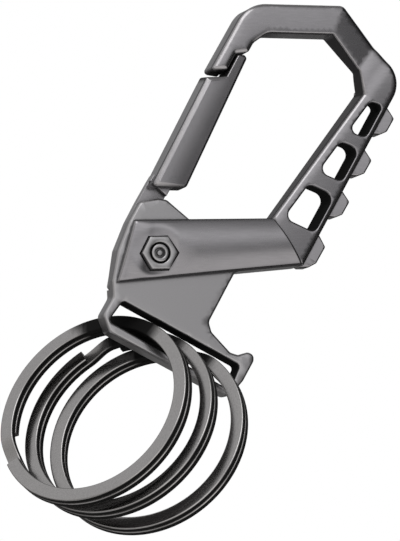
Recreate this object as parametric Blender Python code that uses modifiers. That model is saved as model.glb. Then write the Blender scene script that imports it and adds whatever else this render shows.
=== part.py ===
"""Carabiner keychain: a cast hook with a sprung gate, a ring plate and three split rings.

Metres, +Z up. The hook hangs from the underside of its top bar, where the origin lies.
The front faces -Y. Outlines are drawn in the XZ plane, as shares of the sizes they follow.
"""
import math

import bmesh
import bpy
from mathutils import Matrix, Vector

# Hook: left side to the outer face of the right bar, and seat of the top bar to the pivot
hook_width = 0.0308
hook_drop = 0.0501
frame_thickness = 0.0052
frame_outer_fall = 0.00025
outer_chamfer = 0.00045
inner_chamfer = 0.00035
outer_bend_radius = 0.0060
inner_bend_radius = 0.0020
shoulder_radius = 0.0061

# Arm, the raised band from the pivot to the right bar
arm_edge_wall = 0.0008
arm_crown_rise = 0.0011
arm_chamfer = 0.0004
arm_end_slope = 0.0018
fork_overrun = 0.0067

# Right bar: openings and grip teeth
slot_inner_wall = 0.0014
slot_outer_wall = 0.00105
slot_rise = 0.0008
slot_corner_radius = 0.0011
tooth_reach = 0.0024
tooth_thickness = 0.0030
tooth_corner_radius = 0.0009
tooth_root = 0.0007

# Gate
gate_thickness = 0.0050
gate_chamfer = 0.00045
gate_corner_radius = 0.0006
gate_neck_thickness = 0.0028
gate_tail_thickness = 0.00185
tail_eye_wall = 0.0014

# Ring plate
plate_width = 0.0268
plate_drop = 0.0164
plate_thickness = 0.0040
plate_chamfer = 0.0004
plate_corner_radius = 0.0012
slot_end_radius = 0.0007
slot_play = 0.0018
slot_flare = 0.00028
rail_left_height = 0.0017
rail_right_height = 0.00123
foot_corner_rise = 0.00197

# Pivot screw and nut
shank_radius = 0.0015
pivot_play = 0.00015
nut_play = 0.00028
cheek_web = 0.0006
nut_across_flats = 0.0055
nut_thickness = 0.0013
screw_head_radius = 0.00275
screw_head_height = 0.0012
socket_across_flats = 0.0020
socket_depth = 0.0007
dimple_radius = 0.0009
dimple_depth = 0.0005
screw_chamfer = 0.0002

# Gate spring
spring_wire_radius = 0.00016
spring_room = 0.0005
spring_turns = 2
spring_leg = 0.0005
leg_play = 0.0002
pocket_floor = 0.00065

# Split rings
ring_outer_radius = 0.0175
ring_wire_width = 0.0023
coil_thickness = 0.0012
coil_gap = 0.00015
coil_chamfer = 0.00018

# Clearances
seat_gap = 0.0003
ring_lift = 0.0006
second_ring_room = 0.00104
third_ring_room = 0.00008
bore_overrun = 0.0010

# Sizes that follow from these
arm_edge_thickness = plate_thickness + 2 * (seat_gap + arm_edge_wall)
arm_crown_thickness = arm_edge_thickness + 2 * arm_crown_rise
pivot_bore_radius = shank_radius + pivot_play
nut_bore_radius = shank_radius + nut_play
spring_radius = pivot_bore_radius + spring_room + spring_wire_radius
leg_hole_radius = spring_wire_radius + leg_play
pocket_radius = spring_radius + spring_wire_radius + seat_gap
tail_eye_radius = pocket_radius + tail_eye_wall
ring_inner_radius = ring_outer_radius - ring_wire_width
slot_height = ring_wire_width + slot_play
coil_stack = coil_thickness + coil_gap + coil_thickness

# Counts and angles
arc_step = math.radians(14)
rim_angle = math.radians(60)
smooth_angle = math.radians(30)
flat_turn = math.radians(30)
straight_angle = math.radians(1)
round_steps = 40
hole_steps = 12
spring_steps = 16
ring_steps = 44
ramp_steps = 4
ramp_angle = math.radians(20)
end_gap_angle = math.radians(3)

# Shares of hook_width from the left side, and of hook_drop down from the seat
apex_share = 0.513
pivot_share = (0.236, 1.013)
plate_datum_share = (0.25, 1.0)
nose_shares = [(0.0, 0.371), (0.078, 0.333)]
step_shares = [(0.0, 0.281), (0.078, 0.262), (0.0, 0.243), (0.136, 0.232)]
bend_shares = [(0.0, 0.079), (0.136, 0.147)]
apex_shares = [(0.487, -0.108), (apex_share, 0.0)]
crease_shares = [(0.773, -0.040), (0.756, 0.050)]
shoulder_shares = [(1.0, 0.0), (0.841, 0.132)]
foot_shares = [(1.0, 0.764), (0.714, 0.687)]
arm_left_shares = [(0.032, 0.954), (0.117, 1.172)]
arm_right_shares = [(0.714, 0.687), (0.990, 0.772)]
arm_width_shares = [0.18, 0.34, 0.5, 0.66, 0.82]
tooth_shares = [(0.106, 0.216), (0.281, 0.389), (0.453, 0.559), (0.631, 0.764)]
tooth_profile_shares = [(0.82, 0.14), (1.0, 0.42), (0.92, 0.80), (0.66, 0.97)]
bar_slot_shares = [(0.122, 0.254), (0.305, 0.437), (0.497, 0.645)]

# Gate outline, on the hook's shares
gate_block_shares = [(0.0, 0.390), (0.098, 0.344), (0.095, 0.258), (0.126, 0.242), (0.149, 0.246),
                     (0.205, 0.756), (0.027, 0.820)]
tail_left_shares = [(0.010, 0.790), (0.014, 0.880), (0.018, 0.962), (0.040, 1.066), (0.093, 1.150),
                    (0.114, 1.186)]
neck_shares = [(0.010, 0.770), (0.010, 0.797), (0.137, 0.812), (0.137, 0.750)]
tail_right_shares = [(0.166, 1.180), (0.250, 1.050), (0.250, 0.950), (0.140, 0.850), (0.136, 0.750)]

# Shares of plate_width right of its left side, and of plate_drop below its datum near the pivot
plate_left_share = 0.123
plate_crown_shares = [(-0.146, -0.110), (-0.146, -0.348), (-0.052, -0.488), (0.0, -0.524),
                      (0.198, -0.476), (0.460, -0.439)]
plate_key_shares = [(0.616, -0.400), (0.616, -0.130)]
plate_side_shares = [(0.620, 0.345), (0.668, 0.420), (0.838, 0.500), (0.893, 0.478), (0.940, 0.392),
                     (0.982, 0.392), (1.0, 0.445), (1.0, 0.680)]
plate_foot_share = 0.972
plate_heel_share = 0.090
plate_neck_shares = [(0.0, 0.660), (-0.055, 0.520), (-0.118, 0.215)]
slot_roof_shares = [(0.070, 0.646), (0.928, 0.573)]
slot_floor_shares = [0.052, 0.944]

# Room in the plate's back for the gate's tail, on the hook's shares
tail_room_shares = [(-0.031, 1.210), (0.195, 1.183), (0.413, 1.036), (0.413, 0.771)]

# Rings: place of the first along the slot, and in degrees each one's turn, lean and split
first_ring_share = 0.250
ring_turns = [-52.0, -52.0, -47.2]
ring_leans = [-1.5, -3.0, -3.0]
ring_splits = [236.0, 147.0, 95.0]

GUNMETAL = (0.165, 0.160, 0.165, 1.0)
RING_GREY = (0.300, 0.285, 0.280, 1.0)
STEEL = (0.420, 0.415, 0.420, 1.0)


def hook_point(share):
    """A point of the hook's plane from its shares."""
    return Vector(((share[0] - apex_share) * hook_width, -share[1] * hook_drop))


pivot = hook_point(pivot_share)


def plate_point(share):
    """A point of the ring plate's plane from its shares, measured from its datum."""
    datum = hook_point(plate_datum_share)
    return datum + Vector(((share[0] - plate_left_share) * plate_width, -share[1] * plate_drop))


def slot_corners():
    """The ring slot: its roof on the plate's shares, its floor a slot's height below."""
    roof_left, roof_right = [plate_point(share) for share in slot_roof_shares]
    floor_left = Vector((plate_point((slot_floor_shares[0], 0.0)).x, roof_left.y - slot_height))
    floor_right = Vector((plate_point((slot_floor_shares[1], 0.0)).x,
                          roof_right.y - slot_height - slot_flare))
    return [roof_left, roof_right, floor_right, floor_left]


def plate_corners():
    """The ring plate's outline, from its crown clockwise."""
    floor_right, floor_left = slot_corners()[2:]
    foot = Vector((plate_point((plate_foot_share, 0.0)).x, floor_right.y - rail_right_height))
    heel = Vector((plate_point((plate_heel_share, 0.0)).x, floor_left.y - rail_left_height))
    left = Vector((plate_point((0.0, 0.0)).x, heel.y + foot_corner_rise))
    sides = [plate_point(share) for share in plate_crown_shares + plate_key_shares + plate_side_shares]
    return sides + [foot, heel, left] + [plate_point(share) for share in plate_neck_shares]


def fillet(before, corner, after, radius):
    """Points of an arc that rounds a corner and touches both of its sides."""
    back = (before - corner).normalized()
    ahead = (after - corner).normalized()
    half = back.angle(ahead) / 2
    if math.pi / 2 - half < straight_angle:
        return [corner]
    reach = min(radius / math.tan(half), (before - corner).length / 2, (after - corner).length / 2)
    radius = reach * math.tan(half)
    centre = corner + (back + ahead).normalized() * math.hypot(reach, radius)
    start = corner + back * reach - centre
    turn = (corner + ahead * reach - centre).angle_signed(start)
    steps = max(1, math.ceil(abs(turn) / arc_step))
    arc = []
    for step in range(steps + 1):
        arc.append(centre + Matrix.Rotation(turn * step / steps, 2) @ start)
    return arc


def rounded(corners, radius):
    """A closed outline with every corner rounded."""
    points = []
    for index, corner in enumerate(corners):
        after = corners[(index + 1) % len(corners)]
        points += fillet(corners[index - 1], corner, after, radius)
    return points


def line_across(start, end, share):
    """The point at a share of the way from start to end."""
    return start + (end - start) * share


def new_collection(name):
    """A collection linked to the scene."""
    collection = bpy.data.collections.new(name)
    bpy.context.scene.collection.children.link(collection)
    return collection


def new_material(name, colour, roughness):
    """A metal with one colour."""
    material = bpy.data.materials.new(name)
    material.use_nodes = True
    shader = material.node_tree.nodes["Principled BSDF"]
    shader.inputs["Base Color"].default_value = colour
    shader.inputs["Metallic"].default_value = 1.0
    shader.inputs["Roughness"].default_value = roughness
    return material


def add_mesh(name, mesh, collection):
    """An object for a mesh, in its collection."""
    solid = bpy.data.objects.new(name, mesh)
    collection.objects.link(solid)
    if collection is cutters:
        solid.hide_render = True
        solid.display_type = "WIRE"
    return solid


def solid_from(guide, collection):
    """A closed mesh object in place of a curve, or of a profile that a modifier turns."""
    graph = bpy.context.evaluated_depsgraph_get()
    mesh = bpy.data.meshes.new_from_object(guide.evaluated_get(graph))
    shape = bmesh.new()
    shape.from_mesh(mesh)
    bmesh.ops.remove_doubles(shape, verts=shape.verts, dist=0.000001)
    bmesh.ops.recalc_face_normals(shape, faces=shape.faces)
    shape.to_mesh(mesh)
    shape.free()
    name = guide.name
    place = guide.matrix_world.copy()
    bpy.data.objects.remove(guide)
    solid = add_mesh(name, mesh, collection)
    solid.matrix_world = place
    return solid


def outline_curve(name, outlines, depth, chamfer=0.0):
    """A flat closed curve with a thickness and chamfered rims; a second outline is a hole."""
    data = bpy.data.curves.new(name, "CURVE")
    data.dimensions = "2D"
    data.fill_mode = "BOTH"
    data.extrude = depth / 2 - chamfer
    data.bevel_depth = chamfer
    data.bevel_resolution = 0
    data.offset = -chamfer
    for points in outlines:
        spline = data.splines.new("POLY")
        spline.points.add(len(points) - 1)
        for target, point in zip(spline.points, points):
            target.co = (point.x, point.y, 0.0, 1.0)
        spline.use_cyclic_u = True
    curve = bpy.data.objects.new(name, data)
    bpy.context.scene.collection.objects.link(curve)
    return curve


def slab(name, outlines, front, back, collection, chamfer=0.0):
    """A flat piece between two depths, its outlines in the XZ plane."""
    curve = outline_curve(name, outlines, back - front, chamfer)
    curve.rotation_euler = (math.pi / 2, 0.0, 0.0)
    curve.location = (0.0, (front + back) / 2, 0.0)
    bpy.context.view_layer.update()
    return solid_from(curve, collection)


def cut_or_join(target, tool, operation):
    """Adds a Boolean modifier with an exact solver."""
    modifier = target.modifiers.new(tool.name, "BOOLEAN")
    modifier.operation = operation
    modifier.solver = "EXACT"
    modifier.object = tool


def bevel(solid, width):
    """Breaks the sharp rims of a flat piece."""
    modifier = solid.modifiers.new("rims", "BEVEL")
    modifier.width = width
    modifier.limit_method = "ANGLE"
    modifier.angle_limit = rim_angle


def shade_round(mesh):
    """Smooth shading between the sharp corners."""
    mesh.shade_smooth()
    mesh.set_sharp_from_angle(angle=smooth_angle)


def loft(name, sections, collection):
    """A solid skinned through closed sections of as many points each."""
    shape = bmesh.new()
    rings = []
    for section in sections:
        rings.append([shape.verts.new(point) for point in section])
    for ring, following in zip(rings, rings[1:]):
        for index, vertex in enumerate(ring):
            beyond = (index + 1) % len(ring)
            shape.faces.new((vertex, ring[beyond], following[beyond], following[index]))
    shape.faces.new(rings[0])
    shape.faces.new(rings[-1])
    bmesh.ops.triangulate(shape, faces=shape.faces)
    bmesh.ops.recalc_face_normals(shape, faces=shape.faces)
    mesh = bpy.data.meshes.new(name)
    shape.to_mesh(mesh)
    shape.free()
    shade_round(mesh)
    return add_mesh(name, mesh, collection)


def pivot_place(depth):
    """A place on the pivot's axis."""
    return Vector((pivot.x, depth, pivot.y))


def shift_origin(solid, place):
    """Moves an object's origin and leaves its mesh where it is."""
    solid.data.transform(solid.matrix_world)
    solid.data.transform(Matrix.Translation(-place))
    solid.matrix_world = Matrix.Translation(place)


def bar_section(outer, inner):
    """Eight-sided section of the hook's bar, lower at the outer edge than at the inner one."""
    across = (inner - outer).normalized()
    outer_half = frame_thickness / 2 - frame_outer_fall
    inner_half = frame_thickness / 2
    front = [(outer, outer_half - outer_chamfer), (outer + across * outer_chamfer, outer_half),
             (inner - across * inner_chamfer, inner_half), (inner, inner_half - inner_chamfer)]
    section = [Vector((point.x, -half, point.y)) for point, half in front]
    section += [Vector((point.x, half, point.y)) for point, half in reversed(front)]
    return section


def bar_stations():
    """Outer and inner points along the hook, from the nose to the foot of the right bar."""
    nose_outer, nose_inner = [hook_point(share) for share in nose_shares]
    lip_outer, lip_inner, step_outer, step_inner = [hook_point(share) for share in step_shares]
    bend_outer, bend_inner = [hook_point(share) for share in bend_shares]
    apex_outer, apex_inner = [hook_point(share) for share in apex_shares]
    crease_outer, crease_inner = [hook_point(share) for share in crease_shares]
    corner_outer, corner_inner = [hook_point(share) for share in shoulder_shares]
    foot_outer, foot_inner = [hook_point(share) for share in foot_shares]
    stations = [(nose_outer, nose_inner), (lip_outer, lip_inner), (step_outer, step_inner)]
    outer_arc = fillet(step_outer, bend_outer, apex_outer, outer_bend_radius)
    inner_arc = fillet(step_inner, bend_inner, apex_inner, inner_bend_radius)
    for index, outer in enumerate(outer_arc):
        along = index / (len(outer_arc) - 1) * (len(inner_arc) - 1)
        low = min(int(along), len(inner_arc) - 2)
        stations.append((outer, line_across(inner_arc[low], inner_arc[low + 1], along - low)))
    stations += [(apex_outer, apex_inner), (crease_outer, crease_inner)]
    shoulder = fillet(crease_outer, corner_outer, foot_outer, shoulder_radius)
    for index, outer in enumerate(shoulder):
        share = (index + 1) / len(shoulder)
        stations.append((outer, line_across(crease_inner, corner_inner, share)))
    sunk = (foot_outer - corner_outer).normalized() * frame_outer_fall
    stations.append((foot_outer + sunk, foot_inner + sunk))
    return stations


def arm_section(top, bottom, edge_half, crown_half):
    """Section of the arm, swelling from its edges to a crown along the middle."""
    width = (bottom - top).length
    shares = [0.0, arm_chamfer / width] + arm_width_shares + [1 - arm_chamfer / width, 1.0]
    front = []
    for share in shares:
        half = edge_half + (crown_half - edge_half) * (1 - (2 * share - 1) ** 2)
        if share in (0.0, 1.0):
            half = edge_half - arm_chamfer
        front.append((line_across(top, bottom, share), half))
    section = [Vector((point.x, -half, point.y)) for point, half in front]
    section += [Vector((point.x, half, point.y)) for point, half in reversed(front)]
    return section


def make_arm():
    """The raised band, which dives into the right bar's face at its far end."""
    top_left, bottom_left = [hook_point(share) for share in arm_left_shares]
    top_right, bottom_right = [hook_point(share) for share in arm_right_shares]
    length = (bottom_right - bottom_left).length
    bar_half = frame_thickness / 2 - outer_chamfer
    edge = arm_edge_thickness / 2
    crown = arm_crown_thickness / 2
    levels = [(0.0, edge - arm_chamfer, crown - arm_chamfer), (arm_chamfer / length, edge, crown),
              (0.5, edge, crown), (1 - arm_end_slope / length, edge, crown),
              (1.0, bar_half, bar_half + outer_chamfer), (1 + arm_end_slope / length, bar_half, bar_half)]
    sections = []
    for share, edge_half, crown_half in levels:
        top = line_across(top_left, top_right, share)
        bottom = line_across(bottom_left, bottom_right, share)
        if share > 1:
            bottom = line_across(bottom, top, outer_chamfer / (top - bottom).length)
        sections.append(arm_section(top, bottom, edge_half, crown_half))
    return loft("arm_band", sections, cutters)


def make_tooth(index, top_share, bottom_share):
    """A grip tooth, thinner than the bar and rooted in its outer edge."""
    top = hook_point((1.0, top_share))
    bottom = hook_point((1.0, bottom_share))
    corners = [top - Vector((tooth_root, 0.0))]
    corners.append(top)
    for reach_share, drop_share in tooth_profile_shares:
        corners.append(line_across(top, bottom, drop_share) + Vector((tooth_reach * reach_share, 0.0)))
    corners.append(bottom)
    corners.append(bottom - Vector((tooth_root, 0.0)))
    half = tooth_thickness / 2
    return slab(f"tooth_{index}", [rounded(corners, tooth_corner_radius)], -half, half, cutters)


def make_bar_slot(index, top_share, bottom_share):
    """An opening through the right bar, its left side along the bar's inner edge."""
    corner = hook_point(shoulder_shares[1])
    foot = hook_point(foot_shares[1])
    right = hook_point((1.0, 0.0)).x - slot_outer_wall
    top = hook_point((0.0, top_share)).y
    bottom = hook_point((0.0, bottom_share)).y
    lean = (corner.x - foot.x) / (corner.y - foot.y)
    top_left = Vector((corner.x + slot_inner_wall + (top - corner.y) * lean, top - slot_rise))
    bottom_left = Vector((corner.x + slot_inner_wall + (bottom - corner.y) * lean, bottom - slot_rise))
    corners = [top_left, Vector((right, top)), Vector((right, bottom)), bottom_left]
    half = frame_thickness / 2 + bore_overrun
    return slab(f"bar_slot_{index}", [rounded(corners, slot_corner_radius)], -half, half, cutters)


def make_fork():
    """The mortise in the arm that takes the ring plate and the gate's tail."""
    key_high, key_low = [plate_point(share) for share in plate_key_shares]
    crown = [plate_point(share) for share in plate_crown_shares]
    side = plate_point(plate_side_shares[0])
    left = plate_point(plate_crown_shares[0]).x - fork_overrun
    top = plate_point(plate_crown_shares[3]).y + fork_overrun
    bottom = plate_point(plate_neck_shares[0]).y
    gap = Vector((seat_gap, seat_gap))
    across = Vector((seat_gap, 0.0))
    corners = [Vector((left, top)), Vector((crown[4].x, top)), crown[4] + gap, crown[5] + gap,
               key_high + gap, key_low + across, side + across, Vector((side.x, bottom)) + across,
               Vector((left, bottom))]
    half = plate_thickness / 2 + seat_gap
    return slab("fork", [corners], -half, half, cutters)


def prism(name, centre, radius, sides, front, back, collection, turn=0.0):
    """A round or many-sided piece between two depths, its axis along Y."""
    shape = bmesh.new()
    place = Matrix.Translation((centre.x, (front + back) / 2, centre.y))
    upright = Matrix.Rotation(math.pi / 2, 4, "X") @ Matrix.Rotation(turn, 4, "Z")
    bmesh.ops.create_cone(shape, cap_ends=True, segments=sides, radius1=radius, radius2=radius,
                          depth=back - front, matrix=place @ upright)
    mesh = bpy.data.meshes.new(name)
    shape.to_mesh(mesh)
    shape.free()
    return add_mesh(name, mesh, collection)


def make_bore(name, radius, front, back):
    """A round cutter on the pivot's axis."""
    return prism(name, pivot, radius, round_steps, front, back, cutters)


def arm_angle():
    """Slope of the arm's upper edge, along which the nut's flats lie."""
    along = hook_point(arm_right_shares[0]) - hook_point(arm_left_shares[0])
    return math.atan2(along.y, along.x)


def hexagon(name, across_flats, front, back, collection):
    """A six-sided piece on the pivot's axis with two flats along the arm."""
    radius = across_flats / math.sqrt(3)
    return prism(name, pivot, radius, 6, front, back, collection, arm_angle() + flat_turn)


recess_floor = plate_thickness / 2 + seat_gap + cheek_web
nut_back = -recess_floor - seat_gap
nut_front = nut_back - nut_thickness
head_front = recess_floor + seat_gap
head_back = head_front + screw_head_height
crown_face = arm_crown_thickness / 2 + bore_overrun


def make_frame():
    """The cast hook: nose, top bar, right bar with openings and teeth, and the forked arm."""
    sections = [bar_section(outer, inner) for outer, inner in bar_stations()]
    frame = loft("frame", sections, parts)
    cut_or_join(frame, make_arm(), "UNION")
    for index, (top_share, bottom_share) in enumerate(tooth_shares):
        cut_or_join(frame, make_tooth(index + 1, top_share, bottom_share), "UNION")
    for index, (top_share, bottom_share) in enumerate(bar_slot_shares):
        cut_or_join(frame, make_bar_slot(index + 1, top_share, bottom_share), "DIFFERENCE")
    cut_or_join(frame, make_fork(), "DIFFERENCE")
    cut_or_join(frame, make_bore("frame_bore", pivot_bore_radius, -crown_face, crown_face), "DIFFERENCE")
    recess_flats = nut_across_flats + seat_gap + seat_gap
    recess = hexagon("nut_recess", recess_flats, -crown_face, -recess_floor, cutters)
    cut_or_join(frame, recess, "DIFFERENCE")
    head_recess = make_bore("head_recess", screw_head_radius + seat_gap, recess_floor, crown_face)
    cut_or_join(frame, head_recess, "DIFFERENCE")
    frame.data.materials.append(new_material("gunmetal_frame", GUNMETAL, 0.28))
    return frame


spring_front = plate_thickness / 2 - gate_tail_thickness - seat_gap
spring_back = plate_thickness / 2 - pocket_floor
spring_end = pivot + Vector((spring_radius, 0.0))


def make_leg_hole(name, front, back):
    """A round cutter for an end of the gate spring."""
    return prism(name, spring_end, leg_hole_radius, hole_steps, front, back, cutters)


def make_gate():
    """The gate: a thick block with a lap at the nose and a thin tail on the pivot."""
    half = gate_thickness / 2
    block = [hook_point(share) for share in gate_block_shares]
    gate = slab("gate", [rounded(block, gate_corner_radius)], -half, half, parts, gate_chamfer)
    back = plate_thickness / 2
    front = back - gate_tail_thickness
    corners = [hook_point(share) for share in tail_left_shares + tail_right_shares]
    blade = slab("gate_tail", [rounded(corners, gate_corner_radius)], front, back, cutters)
    cut_or_join(gate, blade, "UNION")
    cut_or_join(gate, make_bore("tail_eye", tail_eye_radius, front, back), "UNION")
    neck = [hook_point(share) for share in neck_shares]
    cut_or_join(gate, slab("gate_neck", [neck], back - gate_neck_thickness, back, cutters), "UNION")
    cut_or_join(gate, make_bore("gate_bore", pivot_bore_radius, front - bore_overrun,
                                back + bore_overrun), "DIFFERENCE")
    cut_or_join(gate, make_bore("spring_pocket", pocket_radius, front - bore_overrun,
                                back - pocket_floor), "DIFFERENCE")
    cut_or_join(gate, make_leg_hole("tail_leg_hole", front, back + bore_overrun), "DIFFERENCE")
    gate.data.materials.append(new_material("gunmetal_gate", GUNMETAL, 0.26))
    shift_origin(gate, pivot_place(0.0))
    return gate


def make_ring_plate():
    """The plate that carries the rings; its back is cut away where the gate's tail turns."""
    half = plate_thickness / 2
    outline = rounded(plate_corners(), plate_corner_radius)
    slot = rounded(slot_corners(), slot_end_radius)
    plate = slab("ring_plate", [outline, slot], -half, half, parts, plate_chamfer)
    front = spring_front
    room = [hook_point(share) for share in tail_room_shares]
    room.append(Vector((room[0].x, room[-1].y)))
    cut_or_join(plate, slab("tail_room", [room], front, half + bore_overrun, cutters), "DIFFERENCE")
    cut_or_join(plate, make_bore("plate_bore", pivot_bore_radius, -half - bore_overrun,
                                 half + bore_overrun), "DIFFERENCE")
    cut_or_join(plate, make_leg_hole("plate_leg_hole", front - spring_leg - seat_gap,
                                     front + bore_overrun), "DIFFERENCE")
    plate.data.materials.append(new_material("gunmetal_plate", GUNMETAL, 0.34))
    return plate


def turned(name, profile, collection):
    """A solid turned from a profile that runs down its outer side, its axis along +Y."""
    mesh = bpy.data.meshes.new(name)
    mesh.from_pydata([(radius, 0.0, height) for radius, height in profile],
                     [(index, index + 1) for index in range(len(profile) - 1)], [])
    guide = add_mesh(name, mesh, collection)
    modifier = guide.modifiers.new("turn", "SCREW")
    modifier.steps = round_steps
    modifier.render_steps = round_steps
    modifier.use_merge_vertices = True
    modifier.merge_threshold = 0.000001
    guide.matrix_world = Matrix.Translation(pivot_place(0.0)) @ Matrix.Rotation(-math.pi / 2, 4, "X")
    bpy.context.view_layer.update()
    solid = solid_from(guide, collection)
    shade_round(solid.data)
    return solid


def make_pivot_screw():
    """The screw on which the gate turns, its head at the back and its dimpled end in the nut."""
    tip = nut_front
    rim = screw_head_radius - screw_chamfer
    profile = [(0.0, head_back), (rim, head_back), (screw_head_radius, head_back - screw_chamfer),
               (screw_head_radius, head_front), (shank_radius, head_front),
               (shank_radius, tip + screw_chamfer), (shank_radius - screw_chamfer, tip),
               (dimple_radius, tip), (0.0, tip + dimple_depth)]
    screw = turned("pivot_screw", profile, parts)
    socket = hexagon("screw_socket", socket_across_flats, head_back - socket_depth,
                     head_back + bore_overrun, cutters)
    cut_or_join(screw, socket, "DIFFERENCE")
    screw.data.materials.append(new_material("dark_steel_screw", STEEL, 0.30))
    return screw


def make_pivot_nut():
    """The thin hexagon nut at the front, sunk into the arm."""
    nut = hexagon("pivot_nut", nut_across_flats, nut_front, nut_back, parts)
    bevel(nut, screw_chamfer)
    bore = make_bore("nut_bore", nut_bore_radius, nut_front - bore_overrun, nut_back + bore_overrun)
    cut_or_join(nut, bore, "DIFFERENCE")
    nut.data.materials.append(new_material("dark_steel_nut", STEEL, 0.28))
    return nut


def make_gate_spring():
    """The wound spring round the pivot, one end in the ring plate and one in the gate's tail."""
    wall = seat_gap / 2 + spring_wire_radius
    length = spring_back - spring_front - wall - wall
    count = spring_turns * spring_steps
    points = [(spring_end.x, spring_front - spring_leg, spring_end.y)]
    for step in range(count + 1):
        angle = math.tau * spring_turns * step / count
        place = pivot + Vector((math.cos(angle), math.sin(angle))) * spring_radius
        points.append((place.x, spring_front + wall + length * step / count, place.y))
    points.append((spring_end.x, spring_back + spring_leg, spring_end.y))
    data = bpy.data.curves.new("gate_spring", "CURVE")
    data.dimensions = "3D"
    data.bevel_depth = spring_wire_radius
    data.bevel_resolution = 1
    data.use_fill_caps = True
    spline = data.splines.new("POLY")
    spline.points.add(len(points) - 1)
    for target, point in zip(spline.points, points):
        target.co = (*point, 1.0)
    curve = bpy.data.objects.new("gate_spring", data)
    bpy.context.scene.collection.objects.link(curve)
    bpy.context.view_layer.update()
    spring = solid_from(curve, parts)
    shade_round(spring.data)
    spring.data.materials.append(new_material("spring_steel", STEEL, 0.35))
    return spring


def split_ring_section():
    """The flat wire's section, a chamfered bar, as a guide curve."""
    wide = ring_wire_width / 2
    thick = coil_thickness / 2
    corners = [Vector((-wide, -thick)), Vector((wide, -thick)), Vector((wide, thick)),
               Vector((-wide, thick))]
    points = []
    for index, corner in enumerate(corners):
        before = (corners[index - 1] - corner).normalized()
        after = (corners[(index + 1) % 4] - corner).normalized()
        points += [corner + before * coil_chamfer, corner + after * coil_chamfer]
    guide = outline_curve("ring_section", [points], 0.0)
    guide.data.fill_mode = "NONE"
    guide.hide_render = True
    return guide


def split_ring_mesh():
    """Nearly two flat turns that cross over each other on a short ramp, round the Z axis."""
    rise = (coil_thickness + coil_gap) / 2
    middle = (ring_outer_radius + ring_inner_radius) / 2
    ramp_start = math.tau - ramp_angle
    end = math.tau + ramp_start - end_gap_angle
    angles = [math.tau * step / ring_steps for step in range(2 * ring_steps)]
    angles = [angle for angle in angles if angle < ramp_start or math.tau < angle < end]
    for step in range(ramp_steps + 1):
        angles.append(ramp_start + ramp_angle * step / ramp_steps)
    angles = sorted(angles + [end])
    guide = split_ring_section()
    data = bpy.data.curves.new("split_ring", "CURVE")
    data.dimensions = "3D"
    data.twist_mode = "Z_UP"
    data.bevel_mode = "OBJECT"
    data.bevel_object = guide
    data.use_fill_caps = True
    spline = data.splines.new("POLY")
    spline.points.add(len(angles) - 1)
    for target, angle in zip(spline.points, angles):
        share = min(max((angle - ramp_start) / ramp_angle, 0.0), 1.0)
        height = rise * math.cos(math.pi * share)
        target.co = (middle * math.cos(angle), middle * math.sin(angle), height, 1.0)
    curve = bpy.data.objects.new("split_ring", data)
    bpy.context.scene.collection.objects.link(curve)
    bpy.context.view_layer.update()
    solid = solid_from(curve, parts)
    mesh = solid.data
    shade_round(mesh)
    bpy.data.objects.remove(solid)
    bpy.data.objects.remove(guide)
    return mesh


def ring_place(slot_share, turn, lean, split):
    """Where a ring hangs: its axis along local Z, its inner edge a little above the rail."""
    slot = slot_corners()
    seat = line_across(slot[3], slot[2], slot_share)
    right = Vector((math.cos(turn), math.sin(turn), 0.0))
    flat_axis = right.cross(Vector((0.0, 0.0, 1.0)))
    up = Vector((0.0, 0.0, math.cos(lean))) + flat_axis * math.sin(lean)
    axis = right.cross(up)
    half_axial = coil_stack / 2
    reach = (plate_thickness / 2 + half_axial * abs(axis.y)) / abs(right.y)
    sag = ring_inner_radius - math.sqrt(ring_inner_radius ** 2 - reach ** 2)
    lift = sag + half_axial * abs(math.sin(lean)) + ring_lift
    centre = Vector((seat.x, 0.0, seat.y + lift)) - up * ring_inner_radius
    place = Matrix((right, up, axis)).transposed().to_4x4()
    return Matrix.Translation(centre) @ place @ Matrix.Rotation(split, 4, "Z")


def ring_shares():
    """Each ring's place along the slot, clear of the ring before it."""
    floor = slot_corners()[2:]
    length = (floor[0] - floor[1]).length
    shares = [first_ring_share]
    for index, room in enumerate([second_ring_room, third_ring_room]):
        spread = 0.0
        for angles in (ring_turns, ring_leans):
            spread += ring_outer_radius * abs(math.sin(math.radians(angles[index + 1] - angles[index])))
        turn = math.radians((ring_turns[index + 1] + ring_turns[index]) / 2)
        pitch = (coil_stack + room + spread) / abs(math.sin(turn))
        shares.append(shares[-1] + pitch / length)
    return shares


def make_split_rings():
    """Three like rings, hung along the rail."""
    mesh = split_ring_mesh()
    mesh.materials.append(new_material("ring_steel", RING_GREY, 0.38))
    for index, slot_share in enumerate(ring_shares()):
        ring = add_mesh(f"split_ring_{index + 1}", mesh, parts)
        turn = math.radians(ring_turns[index])
        lean = math.radians(ring_leans[index])
        split = math.radians(ring_splits[index])
        ring.matrix_world = ring_place(slot_share, turn, lean, split)


for leftover in list(bpy.data.objects):
    bpy.data.objects.remove(leftover)
parts = new_collection("carabiner_keychain")
cutters = new_collection("cutters")
make_frame()
make_gate()
make_ring_plate()
make_pivot_screw()
make_pivot_nut()
make_gate_spring()
make_split_rings()
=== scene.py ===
"""Visual model of a carabiner keychain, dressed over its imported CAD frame.

Metres, +Z up, the front facing -Y. Outlines are drawn in the XZ plane, as shares of the hook.
"""

import math

import bmesh
import bpy
import numpy as np
from bpy.props import FloatProperty, FloatVectorProperty, PointerProperty
from mathutils import Matrix, Vector
from mathutils.geometry import delaunay_2d_cdt
from mathutils.kdtree import KDTree


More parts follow.
